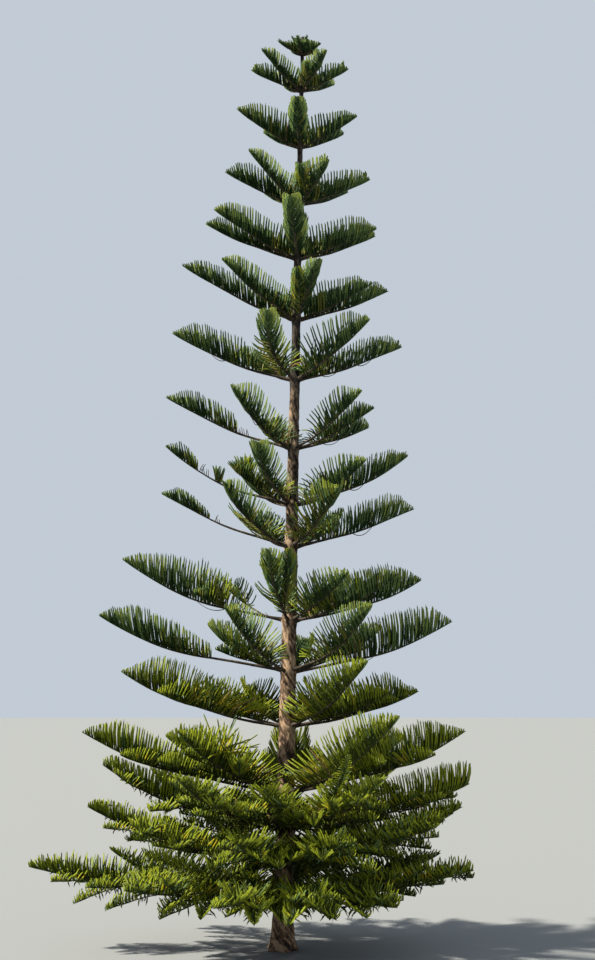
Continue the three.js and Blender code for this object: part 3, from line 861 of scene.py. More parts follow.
@dataclass
class Trunk:
    """The whole trunk, from the flat cut at the ground to the tip, with its bark's relief.

    Each layer of the relief gives the cells of its noise: how many round the trunk, pitch and seed.
    """

    form: TrunkForm
    tiers: dict[int, Tier]
    sides: int = 72
    rings: int = 25
    ring_cuts: int = 21
    least_rise: float = 1e-4
    collar_swell: float = 0.012
    collar_height: float = 0.075
    collar_lift: float = 0.01
    collar_girth: float = 0.08
    relief: float = 0.0080
    relief_girth: float = 0.11
    ridge_gain: float = 0.32
    grain_girth: float = 0.14
    grain_stretch: float = 0.22
    spiral: float = 4.2
    streaks: tuple[int, float, int] = (11, 0.30, 11)
    flakes: tuple[int, float, int] = (17, 0.085, 12)
    fine: tuple[int, float, int] = (29, 0.055, 13)
    fissures: tuple[int, float, int] = (9, 0.42, 14)
    streak_depth: float = 0.8
    flake_depth: float = 0.7
    fine_depth: float = 0.5
    fissure_depth: float = 0.5
    low_fissure_depth: float = 0.8
    fissure_width: float = 0.10
    fissured_height: float = 3.0

    def build(self) -> None:
        """Models the trunk from a cylinder and carves its bark."""
        bpy.ops.mesh.primitive_cylinder_add(
            vertices=self.sides, radius=1.0, depth=HEIGHT, location=(0, 0, HEIGHT / 2), end_fill_type="NGON",
        )
        piece = bpy.context.object
        piece.name = "trunk_relief"
        piece.data.name = "trunk_relief"
        bpy.ops.object.transform_apply(location=True)
        self._divide(piece, self.rings - 1)
        self._divide(piece, self.ring_cuts)
        self._carve(piece)
        bpy.ops.object.shade_smooth()
        piece.data.materials.append(TrunkBark().make())
        ride(piece, Slot.TRUNK_BARK, ["trunk"])

    def _divide(self, piece: Piece, cuts: int) -> None:
        """Cuts every upright edge evenly, which adds level rings of edges."""
        select_only(piece)
        bpy.ops.object.mode_set(mode="EDIT")
        bpy.ops.mesh.select_mode(type="EDGE")
        bpy.ops.mesh.select_all(action="DESELECT")
        bpy.ops.object.mode_set(mode="OBJECT")
        mesh = piece.data
        ends = np.empty(len(mesh.edges) * 2, np.int32)
        mesh.edges.foreach_get("vertices", ends)
        rise = np.ptp(places_of(mesh)[ends.reshape(-1, 2), 2], axis=1)
        mesh.edges.foreach_set("select", rise > self.least_rise)
        bpy.ops.object.mode_set(mode="EDIT")
        bpy.ops.mesh.subdivide(number_cuts=cuts)
        bpy.ops.object.mode_set(mode="OBJECT")

    def _carve(self, piece: Piece) -> None:
        """Gives the rings the trunk's taper, lean, flare, swellings and bark."""
        mesh = piece.data
        places = places_of(mesh).astype(float)
        height = np.clip(places[:, 2], 0, HEIGHT)
        angle = np.arctan2(places[:, 1], places[:, 0])
        girth = self.form.radius(height, angle)
        for tier in self.tiers.values():
            away = (height - tier.height - self.collar_lift) / self.collar_height
            collar = self.collar_swell * np.exp(-away * away)
            girth = girth + collar * np.minimum(1, girth / self.collar_girth)
        bark = self._bark(angle, height)
        girth = girth + self.relief * bark * np.minimum(1, self.form.shaft(height) / self.relief_girth)
        places[:, 0] = self.form.lean * height + girth * np.cos(angle)
        places[:, 1] = girth * np.sin(angle)
        mesh.vertices.foreach_set("co", places.astype(np.float32).ravel())
        ridge = mesh.attributes.new("ridge", "FLOAT", "POINT")
        ridge.data.foreach_set("value", np.clip(0.5 + self.ridge_gain * bark, 0, 1).astype(np.float32))
        turned = angle + self.spiral * height
        drum = np.minimum(girth, self.grain_girth)
        grain = mesh.attributes.new("grain", "FLOAT_VECTOR", "POINT")
        along = np.stack([drum * np.cos(turned), drum * np.sin(turned), self.grain_stretch * height], axis=1)
        grain.data.foreach_set("vector", along.astype(np.float32).ravel())
        mesh.update()

    def _bark(self, angle: Array, height: Array) -> Array:
        """Returns how far the bark stands out: long slanting streaks, flakes and fissures."""
        turned = angle + self.spiral * height
        streaks = ring_noise(turned, height, *self.streaks)
        flakes = ring_noise(turned, height, *self.flakes)
        fine = ring_noise(angle, height, *self.fine)
        fissures = -np.exp(-(ring_noise(turned, height, *self.fissures) / self.fissure_width) ** 2)
        relief = self.streak_depth * streaks + self.flake_depth * flakes + self.fine_depth * fine
        low = np.exp(-height / self.fissured_height)
        return relief + (self.fissure_depth + self.low_fissure_depth * low) * fissures


@dataclass
class Boughs:
    """The limbs of one tier, each a tapering bar with knobbly bark, from inside the trunk."""

    tier: Tier
    shoots: list[Limb]
    finish: Material
    sides: int = 8
    least_rings: int = 6
    step: float = 0.055
    flare: float = 0.75
    flare_length: float = 0.07
    relief: float = 0.09
    bark: tuple[int, float] = (5, 0.06)
    knobs: tuple[int, float] = (3, 0.19)
    knob_seed: int = 7
    point_length: float = 0.012
    shoot_sides: int = 4
    shoot_flare: float = 0.3
    shoot_foot: float = 0.02
    twig_radius: float = 0.0090
    twig_end: float = 0.55
    twig_axis: Triple = (0.36, 0.80, 0.48)
    loop_points: int = 11
    loop_start: float = 0.6
    loop_sway: float = 0.35
    loop_pace: float = 5.0
    stub_points: int = 6
    stub_gap: float = 0.035
    stub_lean: float = 0.5
    stub_aside: float = 0.3
    stub_least: float = 0.6

    def build(self, nodes: list[str]) -> None:
        """Makes the tier's limbs, side shoots and dead twigs as one piece."""
        stock = Stock()
        trunk_radius = float(TRUNK.shaft(self.tier.height))
        for limb in self.tier.limbs:
            self._add(stock, limb, self.sides, self.step, self.flare, trunk_radius)
        for shoot in self.shoots:
            self._add(stock, shoot, self.shoot_sides, 2 * self.step, self.shoot_flare, self.shoot_foot)
        for row in self.tier.rows(LOOP_TABLE):
            self._hang(stock, *row)
        for row in self.tier.rows(STUB_TABLE):
            self._stand(stock, *row)
        piece = stock.build(f"{self.tier.label}_boughs", [self.finish], smooth=True)
        ride(piece, Slot.BOUGH_BARK, nodes)

    def _add(self, stock: Stock, limb: Limb, sides: int, step: float, flare: float, foot: float) -> None:
        """Adds one limb as a closed tube whose girth swells towards its foot."""
        count = max(self.least_rings, round(limb.reach / step))
        distance = np.linspace(0, limb.reach, count + 1)
        angle = np.linspace(0, 2 * math.pi, sides, endpoint=False)
        swell = 1 + flare * np.exp(-np.maximum(distance - foot, 0) / self.flare_length)
        around, along = np.broadcast_arrays(angle[None], distance[:, None])
        bark = ring_noise(around, along, *self.bark, limb.seed)
        knobs = ring_noise(around, along, *self.knobs, limb.seed + self.knob_seed)
        girth = (limb.radius(distance) * swell)[:, None] * (1 + self.relief * (bark + knobs))
        spokes = between(limb.side, limb.above(distance)[:, None], angle[None, :, None])
        rings = limb.point(distance)[:, None] + girth[..., None] * spokes
        self._skin(stock, rings, limb.point(np.array([0.0, limb.reach + self.point_length])))

    def _skin(self, stock: Stock, rings: Array, ends: Array) -> None:
        """Closes rings of points into a tube.

        Args:
            stock: Where it is added.
            rings: Points by ring and corner, turning right-handed about the tube's direction.
            ends: The points that the first and the last ring close to.
        """
        count, sides = len(rings) - 1, rings.shape[1]
        points = np.concatenate([rings.reshape(-1, 3), ends])
        ring, corner = np.meshgrid(np.arange(count), np.arange(sides), indexing="ij")
        here = ring * sides + corner
        beside = ring * sides + (corner + 1) % sides
        walls = np.stack([here, beside, beside + sides, here, beside + sides, here + sides], -1)
        start, end = len(points) - 2, len(points) - 1
        rim = np.arange(sides)
        last = count * sides
        foot_cap = np.stack([np.full(sides, start), (rim + 1) % sides, rim], -1)
        tip_cap = np.stack([np.full(sides, end), last + rim, last + (rim + 1) % sides], -1)
        stock.add(points, np.concatenate([walls.reshape(-1, 3), foot_cap, tip_cap]))

    def _twig(self, stock: Stock, line: Array) -> None:
        """Adds a thin twig along a line of points, tapering to its far end."""
        along = unit(np.gradient(line, axis=0))
        across = unit(np.cross(np.array(self.twig_axis), along))
        angle = np.arange(4) * math.pi / 2
        spokes = between(across[:, None], np.cross(along, across)[:, None], angle[:, None])
        girth = self.twig_radius * np.linspace(1, self.twig_end, len(line))
        self._skin(stock, line[:, None] + girth[:, None, None] * spokes, line[[0, -1]])

    def _hang(self, stock: Stock, limb: Limb, first: float, last: float, depth: float) -> None:
        """Adds a dead twig that hangs in a loop under a limb, between two shares of its reach."""
        share = np.linspace(0, 1, self.loop_points)
        distance = limb.reach * (first + (last - first) * share)
        sag = limb.radius(distance) * self.loop_start + depth * 4 * share * (1 - share)
        aside = self.loop_sway * depth * np.sin(self.loop_pace * share + limb.seed)
        self._twig(stock, limb.point(distance) - sag[:, None] * UP + aside[:, None] * limb.side)

    def _stand(self, stock: Stock, limb: Limb, share: float, count: int, length: float) -> None:
        """Adds a few dead twigs that stand on a limb."""
        random = np.random.default_rng(limb.seed + round(1000 * share))
        for number in range(count):
            foot = limb.point(np.array(share * limb.reach + self.stub_gap * number))
            ahead = random.uniform(-self.stub_lean, self.stub_lean) * limb.out
            lean = ahead + random.uniform(-self.stub_aside, self.stub_aside) * limb.side
            step = np.linspace(0, 1, self.stub_points)[:, None]
            tall = length * random.uniform(self.stub_least, 1.0)
            self._twig(stock, foot + tall * (step * UP + step**2 * lean))


@dataclass
class Branchlets:
    """Curved centrelines of a frond's branchlets, with a tone each."""

    foot: Array
    bend: Array
    tip: Array
    across: Array
    tone: Array
    length: Array

    @staticmethod
    def join(parts: list["Branchlets"]) -> "Branchlets":
        """Joins several sets into one."""
        names = ("foot", "bend", "tip", "across", "tone", "length")
        return Branchlets(*(np.concatenate([getattr(part, name) for part in parts]) for name in names))

    def point(self, which: Array, share: Array) -> Array:
        """Returns the points at shares of the length of some branchlets."""
        t = share[..., None]
        return (1 - t) ** 2 * self.foot[which] + 2 * t * (1 - t) * self.bend[which] + t * t * self.tip[which]

    def along(self, which: Array, share: Array) -> Array:
        """Returns the directions at shares of the length of some branchlets."""
        t = share[..., None]
        first, second = self.bend[which] - self.foot[which], self.tip[which] - self.bend[which]
        return unit((1 - t) * first + t * second + 1e-9)


@dataclass(frozen=True)
class Palette:
    """Tones of branchlets by age, from the inner end of a frond to its tip, with shares in percent."""

    ages: tuple[dict[str, int], ...]
    most: float = 0.9999

    def draw(self, random: Random, age: Array) -> Array:
        """Deals a tone to each branchlet.

        Args:
            random: The generator to draw from.
            age: Places from 0 at the inner end to 1 at the tip.

        Returns:
            A tone number for each place.
        """
        weights = np.array([[row.get(tone.name, 0) / 100 for tone in Tone] for row in self.ages])
        stacked = np.cumsum(weights / weights.sum(axis=1, keepdims=True), axis=1)
        row = np.clip((age * len(self.ages)).astype(int), 0, len(self.ages) - 1)
        drawn = random.uniform(0, self.most, len(age))
        return (drawn[:, None] >= stacked[row]).sum(axis=1)


@dataclass(frozen=True)
class Habit:
    """How branchlets stand along the limbs of some tiers, over the limb's leafy part.

    Angles are in degrees: the lean from upright towards the limb's tip, the opening of the V to each
    side, and the turn and opening with which a branchlet leaves the limb. Hanging is the share of the
    shaded ones that hang.
    """

    lean: Profile
    opening: Profile
    first_turn: Profile
    length: Profile
    keep: Profile
    palette: Palette
    fill_palette: Palette
    pitch: float = 0.050
    tip_pitch: float = 0.040
    cap: float = 0.65
    gain: float = 1.0
    tip_ease: float = 1.0
    tip_start: float = 0.030
    tip_growth: float = 1.05
    lean_back: float = 0.9
    hanging: float = 0.0
    first_opening: Vary = Vary(56.0, 9.0)


UPPER_GREENS = Palette((
    dict(OLIVE=35, LEAF=40, DEEP=25),
    dict(OLIVE=15, LEAF=50, DEEP=35),
    dict(OLIVE=5, LEAF=50, DEEP=30, FRESH=15),
    dict(LEAF=50, DEEP=20, FRESH=30),
    dict(LEAF=40, DEEP=10, FRESH=45, BRIGHT=5),
    dict(LEAF=15, FRESH=60, BRIGHT=25),
))
MIDDLE_GREENS = Palette((
    dict(OLIVE=35, LEAF=30, MOSS=30, DRY=5),
    dict(OLIVE=15, LEAF=40, DEEP=30, MOSS=15),
    dict(LEAF=50, DEEP=35, FRESH=10, OLIVE=5),
    dict(LEAF=50, DEEP=20, FRESH=30),
    dict(LEAF=35, DEEP=15, FRESH=40, BRIGHT=10),
    dict(LEAF=10, FRESH=50, BRIGHT=40),
))
FANNED_GREENS = Palette((
    dict(OLIVE=35, MOSS=38, GOLD=12, LEAF=15),
    dict(OLIVE=25, MOSS=35, LEAF=30, DEEP=10),
    dict(LEAF=45, MOSS=20, DEEP=15, FRESH=20),
    dict(LEAF=40, DEEP=10, FRESH=40, OLIVE=10),
    dict(LEAF=30, DEEP=5, FRESH=50, BRIGHT=15),
    dict(LEAF=10, FRESH=45, BRIGHT=45),
))
LOWER_GREENS = Palette((
    dict(GOLD=48, MOSS=30, OLIVE=19, DRY=3),
    dict(GOLD=36, MOSS=38, FERN=18, OLIVE=8),
    dict(MOSS=50, GOLD=20, FERN=18, LIME=12),
    dict(MOSS=50, FERN=15, LEAF=10, LIME=25),
    dict(MOSS=45, FERN=8, LEAF=7, LIME=40),
    dict(LIME=60, MOSS=30, BRIGHT=10),
))
OLIVE_GREENS = Palette((
    dict(OLIVE=60, MOSS=25, GOLD=15),
    dict(OLIVE=45, MOSS=35, LEAF=20),
    dict(OLIVE=25, MOSS=35, LEAF=40),
    dict(MOSS=25, LEAF=35, FRESH=40),
))
GOLDEN_GREENS = Palette((
    dict(GOLD=65, OLIVE=20, LIME=15),
    dict(GOLD=45, MOSS=25, LIME=30),
    dict(LIME=45, GOLD=25, MOSS=30),
    dict(LIME=65, BRIGHT=20, MOSS=15),
))
DUSKY_GREENS = Palette((
    dict(MOSS=30, FERN=50, OLIVE=20),
    dict(MOSS=35, FERN=45, LEAF=20),
    dict(MOSS=45, FERN=35, LEAF=20),
    dict(MOSS=55, FERN=25, LIME=20),
))
# Palettes of the short fill branchlets between the rows: their dark tones are painted shade inside the
# fronds.
SHADED_GREENS = Palette((
    dict(DEEP=45, OLIVE=35, DRY=3, LEAF=17),
    dict(DEEP=65, OLIVE=10, LEAF=25),
    dict(DEEP=55, LEAF=45),
))
SHADED_LOW_GREENS = Palette((
    dict(FERN=40, OLIVE=30, MOSS=25, DRY=5),
    dict(FERN=60, MOSS=40),
    dict(FERN=50, MOSS=50),
))
# The darkest fill, for the lowest tiers: painted shade under the tiers above.
DEEPEST_SHADE_GREENS = Palette((
    dict(FERN=65, DEEP=25, OLIVE=10),
    dict(FERN=75, DEEP=20, MOSS=5),
    dict(FERN=75, MOSS=25),
))
UPPER_HABIT = Habit(
    lean=Profile((0, 0.3, 1), (-2, 3, 14), 1.5),
    opening=Profile((0, 0.3, 1), (24, 23, 20), 4),
    first_turn=Profile((0, 0.4, 1), (72, 62, 54), 3),
    length=Profile((0, 0.2, 0.6, 1), (0.86, 0.94, 1, 1), 0.025),
    keep=Profile((0, 0.1), (0.9, 1)),
    palette=UPPER_GREENS,
    fill_palette=SHADED_GREENS,
)
CROWN_HABIT = replace(
    UPPER_HABIT,
    lean=Profile((0, 0.4, 1), (0, 4, 12), 3),
    opening=Profile((0, 1), (26, 24), 8),
    first_turn=Profile((0, 0.4, 1), (66, 60, 55), 4),
    length=Profile((0, 0.4, 0.7, 1), (2.0, 1.5, 1, 1), 0.03),
    keep=Profile((0, 1), (1, 1)),
    pitch=0.040,
    tip_pitch=0.036,
)
MIDDLE_HABIT = replace(
    UPPER_HABIT,
    lean=Profile((0, 0.12, 0.3, 1), (-25, -5, 3, 15), 1.8),
    opening=Profile((0, 0.1, 0.25, 0.45, 1), (76, 60, 40, 28, 22), 4),
    first_turn=Profile((0, 0.4, 1), (76, 62, 50), 4),
    length=Profile((0, 0.15, 0.6, 1), (0.64, 0.86, 1, 1), 0.03),
    keep=Profile((0, 0.15), (0.6, 1)),
    palette=MIDDLE_GREENS,
)
TUFTED_HABIT = replace(
    MIDDLE_HABIT,
    lean=Profile((0, 0.3, 1), (2, 5, 15), 1.8),
    opening=Profile((0, 0.4, 1), (34, 28, 22), 4),
    first_turn=Profile((0, 0.4, 1), (78, 62, 50), 4),
    length=Profile((0, 0.2, 0.5, 1), (0.55, 0.80, 1, 1), 0.04),
    keep=Profile((0, 0.1), (0.7, 1)),
)
FANNED_HABIT = replace(
    MIDDLE_HABIT,
    lean=Profile((0, 0.25, 0.6, 1), (-32, -13, -1, 12), 2.5),
    opening=Profile((0, 0.12, 0.28, 0.5, 1), (74, 56, 38, 27, 22), 5),
    first_turn=Profile((0, 0.4, 1), (90, 72, 52), 5),
    length=Profile((0, 0.15, 0.3, 1), (0.50, 0.80, 0.96, 1), 0.035),
    keep=Profile((0, 0.2), (0.5, 1)),
    palette=FANNED_GREENS,
    lean_back=1.6,
)
PLUMED_HABIT = Habit(
    lean=Profile((0, 0.25, 0.5, 1), (-50, -26, -6, 8), 3),
    opening=Profile((0, 0.25, 0.6, 1), (56, 38, 27, 22), 5),
    first_turn=Profile((0, 0.4, 1), (98, 74, 54), 4),
    length=Profile((0, 0.3, 0.6, 1), (0.75, 0.85, 1, 1), 0.03),
    keep=Profile((0, 0.15), (0.6, 1)),
    palette=LOWER_GREENS,
    fill_palette=SHADED_LOW_GREENS,
    pitch=0.046,
    cap=0.72,
    gain=1.18,
    tip_ease=0.85,
    tip_growth=0.95,
    lean_back=2.6,
)
LOWER_HABIT = replace(
    PLUMED_HABIT,
    lean=Profile((0, 0.25, 0.6, 1), (-50, -26, -4, 18), 10),
    opening=Profile((0, 0.25, 0.6, 1), (60, 50, 44, 38), 13),
    length=Profile((0, 0.3, 1), (0.88, 0.94, 1), 0.15),
    hanging=0.55,
    pitch=0.057,
    tip_pitch=0.044,
    cap=0.54,
    gain=1.0,
    tip_start=0.06,
    tip_growth=1.15,
)
UPRIGHT_HABIT = replace(UPPER_HABIT, palette=OLIVE_GREENS)
OLIVE_HABIT = replace(MIDDLE_HABIT, palette=OLIVE_GREENS)
COMBED_HABIT = replace(
    LOWER_HABIT,
    lean=Profile((0, 0.25, 0.6, 1), (-50, -26, -5, 10), 4),
    opening=Profile((0, 0.25, 0.6, 1), (58, 42, 31, 25), 6),
    length=Profile((0, 0.3, 1), (0.88, 0.94, 1), 0.05),
    hanging=0.40,
    pitch=0.048,
    tip_pitch=0.040,
)
# The habits of single limbs and shoots, by seed.
OWN_HABITS = {
    902: replace(OLIVE_HABIT, opening=Profile((0, 0.25, 0.5, 1), (70, 46, 42, 40), 5)),
    1003: OLIVE_HABIT,
    1501: COMBED_HABIT,
    # Limb 6 of tier 15 takes the golden greens: its own pale tips, and painted light on a frond that faces
    # away from the lamp.
    1505: replace(COMBED_HABIT, cap=0.82, tip_start=0.26, tip_growth=1.4, palette=GOLDEN_GREENS),
    1601: COMBED_HABIT,
    1606: COMBED_HABIT,
    15080: replace(COMBED_HABIT, cap=0.50),
}
# The habits of all others by the last tier that has them. Where there are several they are dealt by seed.
TIER_HABITS = {
    1: [CROWN_HABIT],
    6: [UPPER_HABIT],
    10: [MIDDLE_HABIT],
    12: [FANNED_HABIT],
    14: [PLUMED_HABIT],
    15: [replace(LOWER_HABIT, palette=greens) for greens in (LOWER_GREENS, GOLDEN_GREENS, DUSKY_GREENS)],
    # Tiers 16 and 17 deal the dusky greens twice and fill with the darkest greens: painted shade under the
    # tiers above.
    17: [
        replace(LOWER_HABIT, palette=greens, fill_palette=DEEPEST_SHADE_GREENS)
        for greens in (LOWER_GREENS, DUSKY_GREENS, GOLDEN_GREENS, DUSKY_GREENS)
    ],
}
LONG_BARE = 0.9
LAST_TUFTED = 12
LAST_UPRIGHT = 11


def habit_of(number: int, limb: Limb) -> Habit:
    """Returns the habit of a limb or shoot of a tier.

    Args:
        number: The tier's number.
        limb: The limb or shoot.

    Returns:
        The habit. In the upper tiers shoots and limbs that are bare for long have theirs.
    """
    if limb.seed in OWN_HABITS:
        return OWN_HABITS[limb.seed]
    if 1 < number <= LAST_UPRIGHT and limb.girth < 1:
        return UPRIGHT_HABIT
    if number <= LAST_TUFTED and limb.bare > LONG_BARE:
        return TUFTED_HABIT
    habits = next(habits for last, habits in TIER_HABITS.items() if number <= last)
    return habits[limb.seed % len(habits)]


@dataclass(frozen=True)
class FrondRule:
    """The rule by which branchlets stand along a limb in two rows that open upwards as a V.

    The first four fields give the longest branchlets on a limb, from its reach. The fill fields are for
    the short shaded ones between the rows, of which some hang, and the row and jitter fields for where
    both kinds leave the limb. The ripples have their depth and pace. The rib fields are for the green
    outer part of the limb's own line, and the tuft and arc fields for what the tables add. The sector
    and dome fields hold the tips inside the limb's sector and the tree's height.
    """

    least: float = 0.12
    per_reach: float = 0.30
    full: float = 0.33
    full_per_reach: float = 0.115
    tip_ease: float = 0.19
    tip_ease_per_reach: float = 0.07
    bend_share: float = 0.50
    foot_rise: float = 0.45
    foot_aside: float = 0.62
    age_spread: float = 0.2
    lean_back_ease: float = 1.4
    fill_length: Vary = Vary(0.68, 0.14)
    fill_spacing: float = 0.85
    fill_seed: int = 50000
    fill_opening: tuple[float, float] = (-0.3, 0.9)
    fill_leave: tuple[float, float] = (0.1, 0.9)
    hanging_inside: float = 1.15
    hanging_fade: float = 1.5
    hanging_length: float = 0.8
    hanging_lean: float = 0.6
    hanging_leave: float = 0.8
    droop: tuple[float, float] = (95, 150)
    row_start: float = 0.25
    row_offset: float = 0.15
    row_ease: float = 0.4
    tip_gap: float = 0.010
    jitter: float = 0.1
    fill_jitter: float = 0.4
    slow_ripple: tuple[float, float] = (0.035, 9.0)
    quick_ripple: tuple[float, float] = (0.02, 23.0)
    green_share: float = 0.45
    rib_step: float = 0.26
    rib_gap: float = 0.05
    rib_lap: float = 0.08
    rib_point: float = 0.008
    fresh_rib: float = 0.75
    first_sprayed: int = 12
    shoot_spray: float = 0.75
    tuft_spread: float = 0.22
    tuft_seed: int = 77000
    tuft_vary: tuple[float, float] = (0.85, 1.1)
    tuft_end: float = 0.98
    tuft_foot: float = 0.01
    tuft_bow: float = 0.8
    arc_seed: int = 88000
    arc_vary: tuple[float, float] = (0.9, 1.1)
    arc_foot: float = 0.4
    arc_chord: float = 0.97
    arc_turn: float = 0.44
    arc_spread: float = 6.0
    arc_last: float = 0.65
    sector_ease: float = 1.4
    sector_margin: float = 0.06
    lowest: float = 0.04
    dome_gap: float = 0.045
    dome_fall: float = 0.55
    dome_tilt: float = 0.36

    def grow(self, tier: Tier, roof: Tier | None, limb: Limb, parent: Limb, fill: bool) -> Branchlets:
        """Grows the branchlets of one limb or side shoot.

        Args:
            tier: The tier that the limb belongs to.
            roof: The tier above, which they stay under.
            limb: The limb or shoot that they stand on.
            parent: The limb whose sector they stay in.
            fill: True for the short shaded ones between the rows.

        Returns:
            The branchlets.
        """
        habit = habit_of(tier.number, limb)
        random = np.random.default_rng(limb.seed + (self.fill_seed if fill else 0))
        distance, hand = self._stations(limb, habit, random, fill)
        count = len(distance)
        leafy = (distance - limb.bare) / (limb.reach - limb.bare)
        tip_ease = habit.tip_ease * (self.tip_ease + self.tip_ease_per_reach * parent.reach)
        to_tip = limb.reach - distance + habit.tip_start
        reach = parent.reach
        longest = min(self.least + self.per_reach * reach, self.full + self.full_per_reach * reach)
        sprayed = limb is not parent and tier.number >= self.first_sprayed
        longest = min(habit.cap, longest * habit.gain) * (self.shoot_spray if sprayed else 1.0)
        grown = np.minimum(longest * (1 - np.exp(-to_tip / tip_ease)), habit.tip_growth * to_tip)
        factors = np.atleast_1d(LENGTH_TABLE.get(parent.place, 1.0))
        grown = grown * np.interp(leafy, np.linspace(0, 1, len(factors)), factors)
        length = grown * habit.length.draw(random, leafy) * self._ripple(random, distance, hand)
        lean = habit.lean.draw(random, leafy)
        away = np.linalg.norm((limb.point(distance) - parent.root)[:, :2], axis=1)
        back = np.clip(self.lean_back_ease - away / habit.lean_back, 0, 1)
        lean = np.radians(np.where(lean < 0, lean * back, lean))
        opening = np.radians(habit.opening.draw(random, leafy))
        first_opening = np.radians(habit.first_opening.draw(random, count))
        if fill:
            length = length * self.fill_length.draw(random, count)
            fade = np.clip(self.hanging_inside - self.hanging_fade * leafy, 0, 1)
            hanging = random.uniform(0, 1, count) < habit.hanging * fade
            length = np.where(hanging, self.hanging_length * length, length)
            droop = np.radians(random.uniform(*self.droop, count))
            lean = np.where(hanging, self.hanging_lean * np.abs(lean), lean)
            opening = np.where(hanging, droop, opening * random.uniform(*self.fill_opening, count))
            leave = first_opening * random.uniform(*self.fill_leave, count)
            first_opening = np.where(hanging, self.hanging_leave * droop, leave)
        along, above, side = limb.along(distance), limb.above(distance), limb.side
        sideways = hand[:, None] * side
        skin = limb.radius(distance)[:, None] * (self.foot_rise * above + self.foot_aside * sideways)
        foot = limb.point(distance) + skin
        upright = (length * np.cos(lean))[:, None]
        opened = between(UP, sideways, opening[:, None])
        tip = foot + (length * np.sin(lean))[:, None] * limb.out + upright * opened
        tip = self._keep_inside(tip, foot, tier, roof, parent)
        turn = np.radians(habit.first_turn.draw(random, leafy))[:, None]
        leave = between(along, between(above, sideways, first_opening[:, None]), turn)
        span = np.linalg.norm(tip - foot, axis=1)[:, None]
        bend = foot + self.bend_share * span * leave
        age = np.clip(leafy + self.age_spread * random.uniform(-1, 1, count), 0, 1)
        tone = (habit.fill_palette if fill else habit.palette).draw(random, age)
        return Branchlets(foot, bend, tip, sideways, tone, span[:, 0])

    def tuft(
        self, limb: Limb, share: float, lift: float, count: int, length: float, widest: float, tone: Tone,
    ) -> Branchlets:
        """Returns a tuft that radiates upwards from a place on a limb.

        Args:
            limb: The limb that it stands on.
            share: Its place as a share of the limb's reach.
            lift: How far above the limb's line it starts.
            count: How many branchlets it has.
            length: Their length.
            widest: Their widest opening from upright, in degrees.
            tone: Their tone.

        Returns:
            The tuft's branchlets.
        """
        random = np.random.default_rng(limb.seed + self.tuft_seed)
        order = np.arange(count)
        angle = (order * GOLDEN_ANGLE)[:, None]
        lean = np.radians(widest * np.sqrt((order + 0.5) / count))[:, None]
        level = between(limb.out, limb.side, angle)
        long = (length * random.uniform(*self.tuft_vary, count))[:, None]
        place = share * limb.reach + self.tuft_spread * length * random.uniform(-1, 1, count)
        foot = limb.point(np.minimum(place, self.tuft_end * limb.reach)) + self.tuft_foot * level + lift * UP
        bend = foot + 0.5 * long * between(UP, level, self.tuft_bow * lean)
        tip = foot + long * between(UP, level, lean)
        tones = np.where(order % 3 == 1, Tone.OLIVE, tone)
        return Branchlets(foot, bend, tip, unit(np.cross(level, UP)), tones, long[:, 0])

    def arcs(
        self, limb: Limb, hand: int, first: float, last: float, count: int, length: float, opening: float,
        tone: Tone,
    ) -> Branchlets:
        """Returns long branchlets that curve up and away beside a limb.

        Args:
            limb: The limb that they stand on.
            hand: 1 towards larger azimuths, -1 towards smaller ones.
            first: The first one's place as a share of the limb's reach.
            last: The last one's place.
            count: How many there are.
            length: The first one's length.
            opening: Their opening from upright, in degrees.
            tone: The tone of most of them.

        Returns:
            The branchlets.
        """
        random = np.random.default_rng(limb.seed + self.arc_seed)
        distance = limb.reach * np.linspace(first, last, count)
        vary = random.uniform(*self.arc_vary, count)
        long = (length * np.linspace(1.0, self.arc_last, count) * vary)[:, None]
        open_way = np.radians(Vary(opening, self.arc_spread).draw(random, count))[:, None]
        side = hand * limb.side
        foot = limb.point(distance) + self.arc_foot * limb.radius(distance)[:, None] * side
        bend = foot + 0.5 * long * between(UP, side, open_way + self.arc_turn)
        tip = foot + self.arc_chord * long * between(UP, side, open_way)
        tones = np.where(np.arange(count) % 3 == 1, Tone.OLIVE, tone)
        return Branchlets(foot, bend, tip, np.repeat(side[None], count, axis=0), tones, long[:, 0])

    def _stations(self, limb: Limb, habit: Habit, random: Random, fill: bool) -> tuple[Array, Array]:
        """Finds where the branchlets of both rows leave the limb, and to which hand."""
        distances, hands = [], []
        pitch = habit.pitch * (self.fill_spacing if fill else 1.0)
        squeeze = habit.tip_pitch / habit.pitch
        for hand in (1.0, -1.0):
            place = limb.bare + pitch * (self.row_start + self.row_offset * hand)
            while place < limb.reach - 1.5 * self.tip_gap:
                distances.append(place)
                hands.append(hand)
                nearness = float(ease(np.array((place / limb.reach - self.row_ease) / self.row_ease)))
                place += pitch * (1 + (squeeze - 1) * nearness)
        distance, hand = np.array(distances), np.array(hands)
        leafy = (distance - limb.bare) / (limb.reach - limb.bare)
        share = SPARSE_TABLE.get(limb.place, 1.0)
        kept = random.uniform(0, 1, len(distance)) < share * habit.keep.draw(random, leafy)
        jitter = self.fill_jitter if fill else self.jitter
        distance = distance + pitch * jitter * random.uniform(-1, 1, len(distance))
        return np.clip(distance, limb.bare, limb.reach - self.tip_gap)[kept], hand[kept]

    def _ripple(self, random: Random, distance: Array, hand: Array) -> Array:
        """Returns slow swells of the length along each row, as years of growth leave them."""
        phase = random.uniform(0, 2 * math.pi, 4)
        row = np.where(hand > 0, 0, 1)
        (slow, slow_pace), (quick, quick_pace) = self.slow_ripple, self.quick_ripple
        swell = slow * np.sin(distance * slow_pace + phase[row])
        return 1 + swell + quick * np.sin(distance * quick_pace + phase[2 + row])

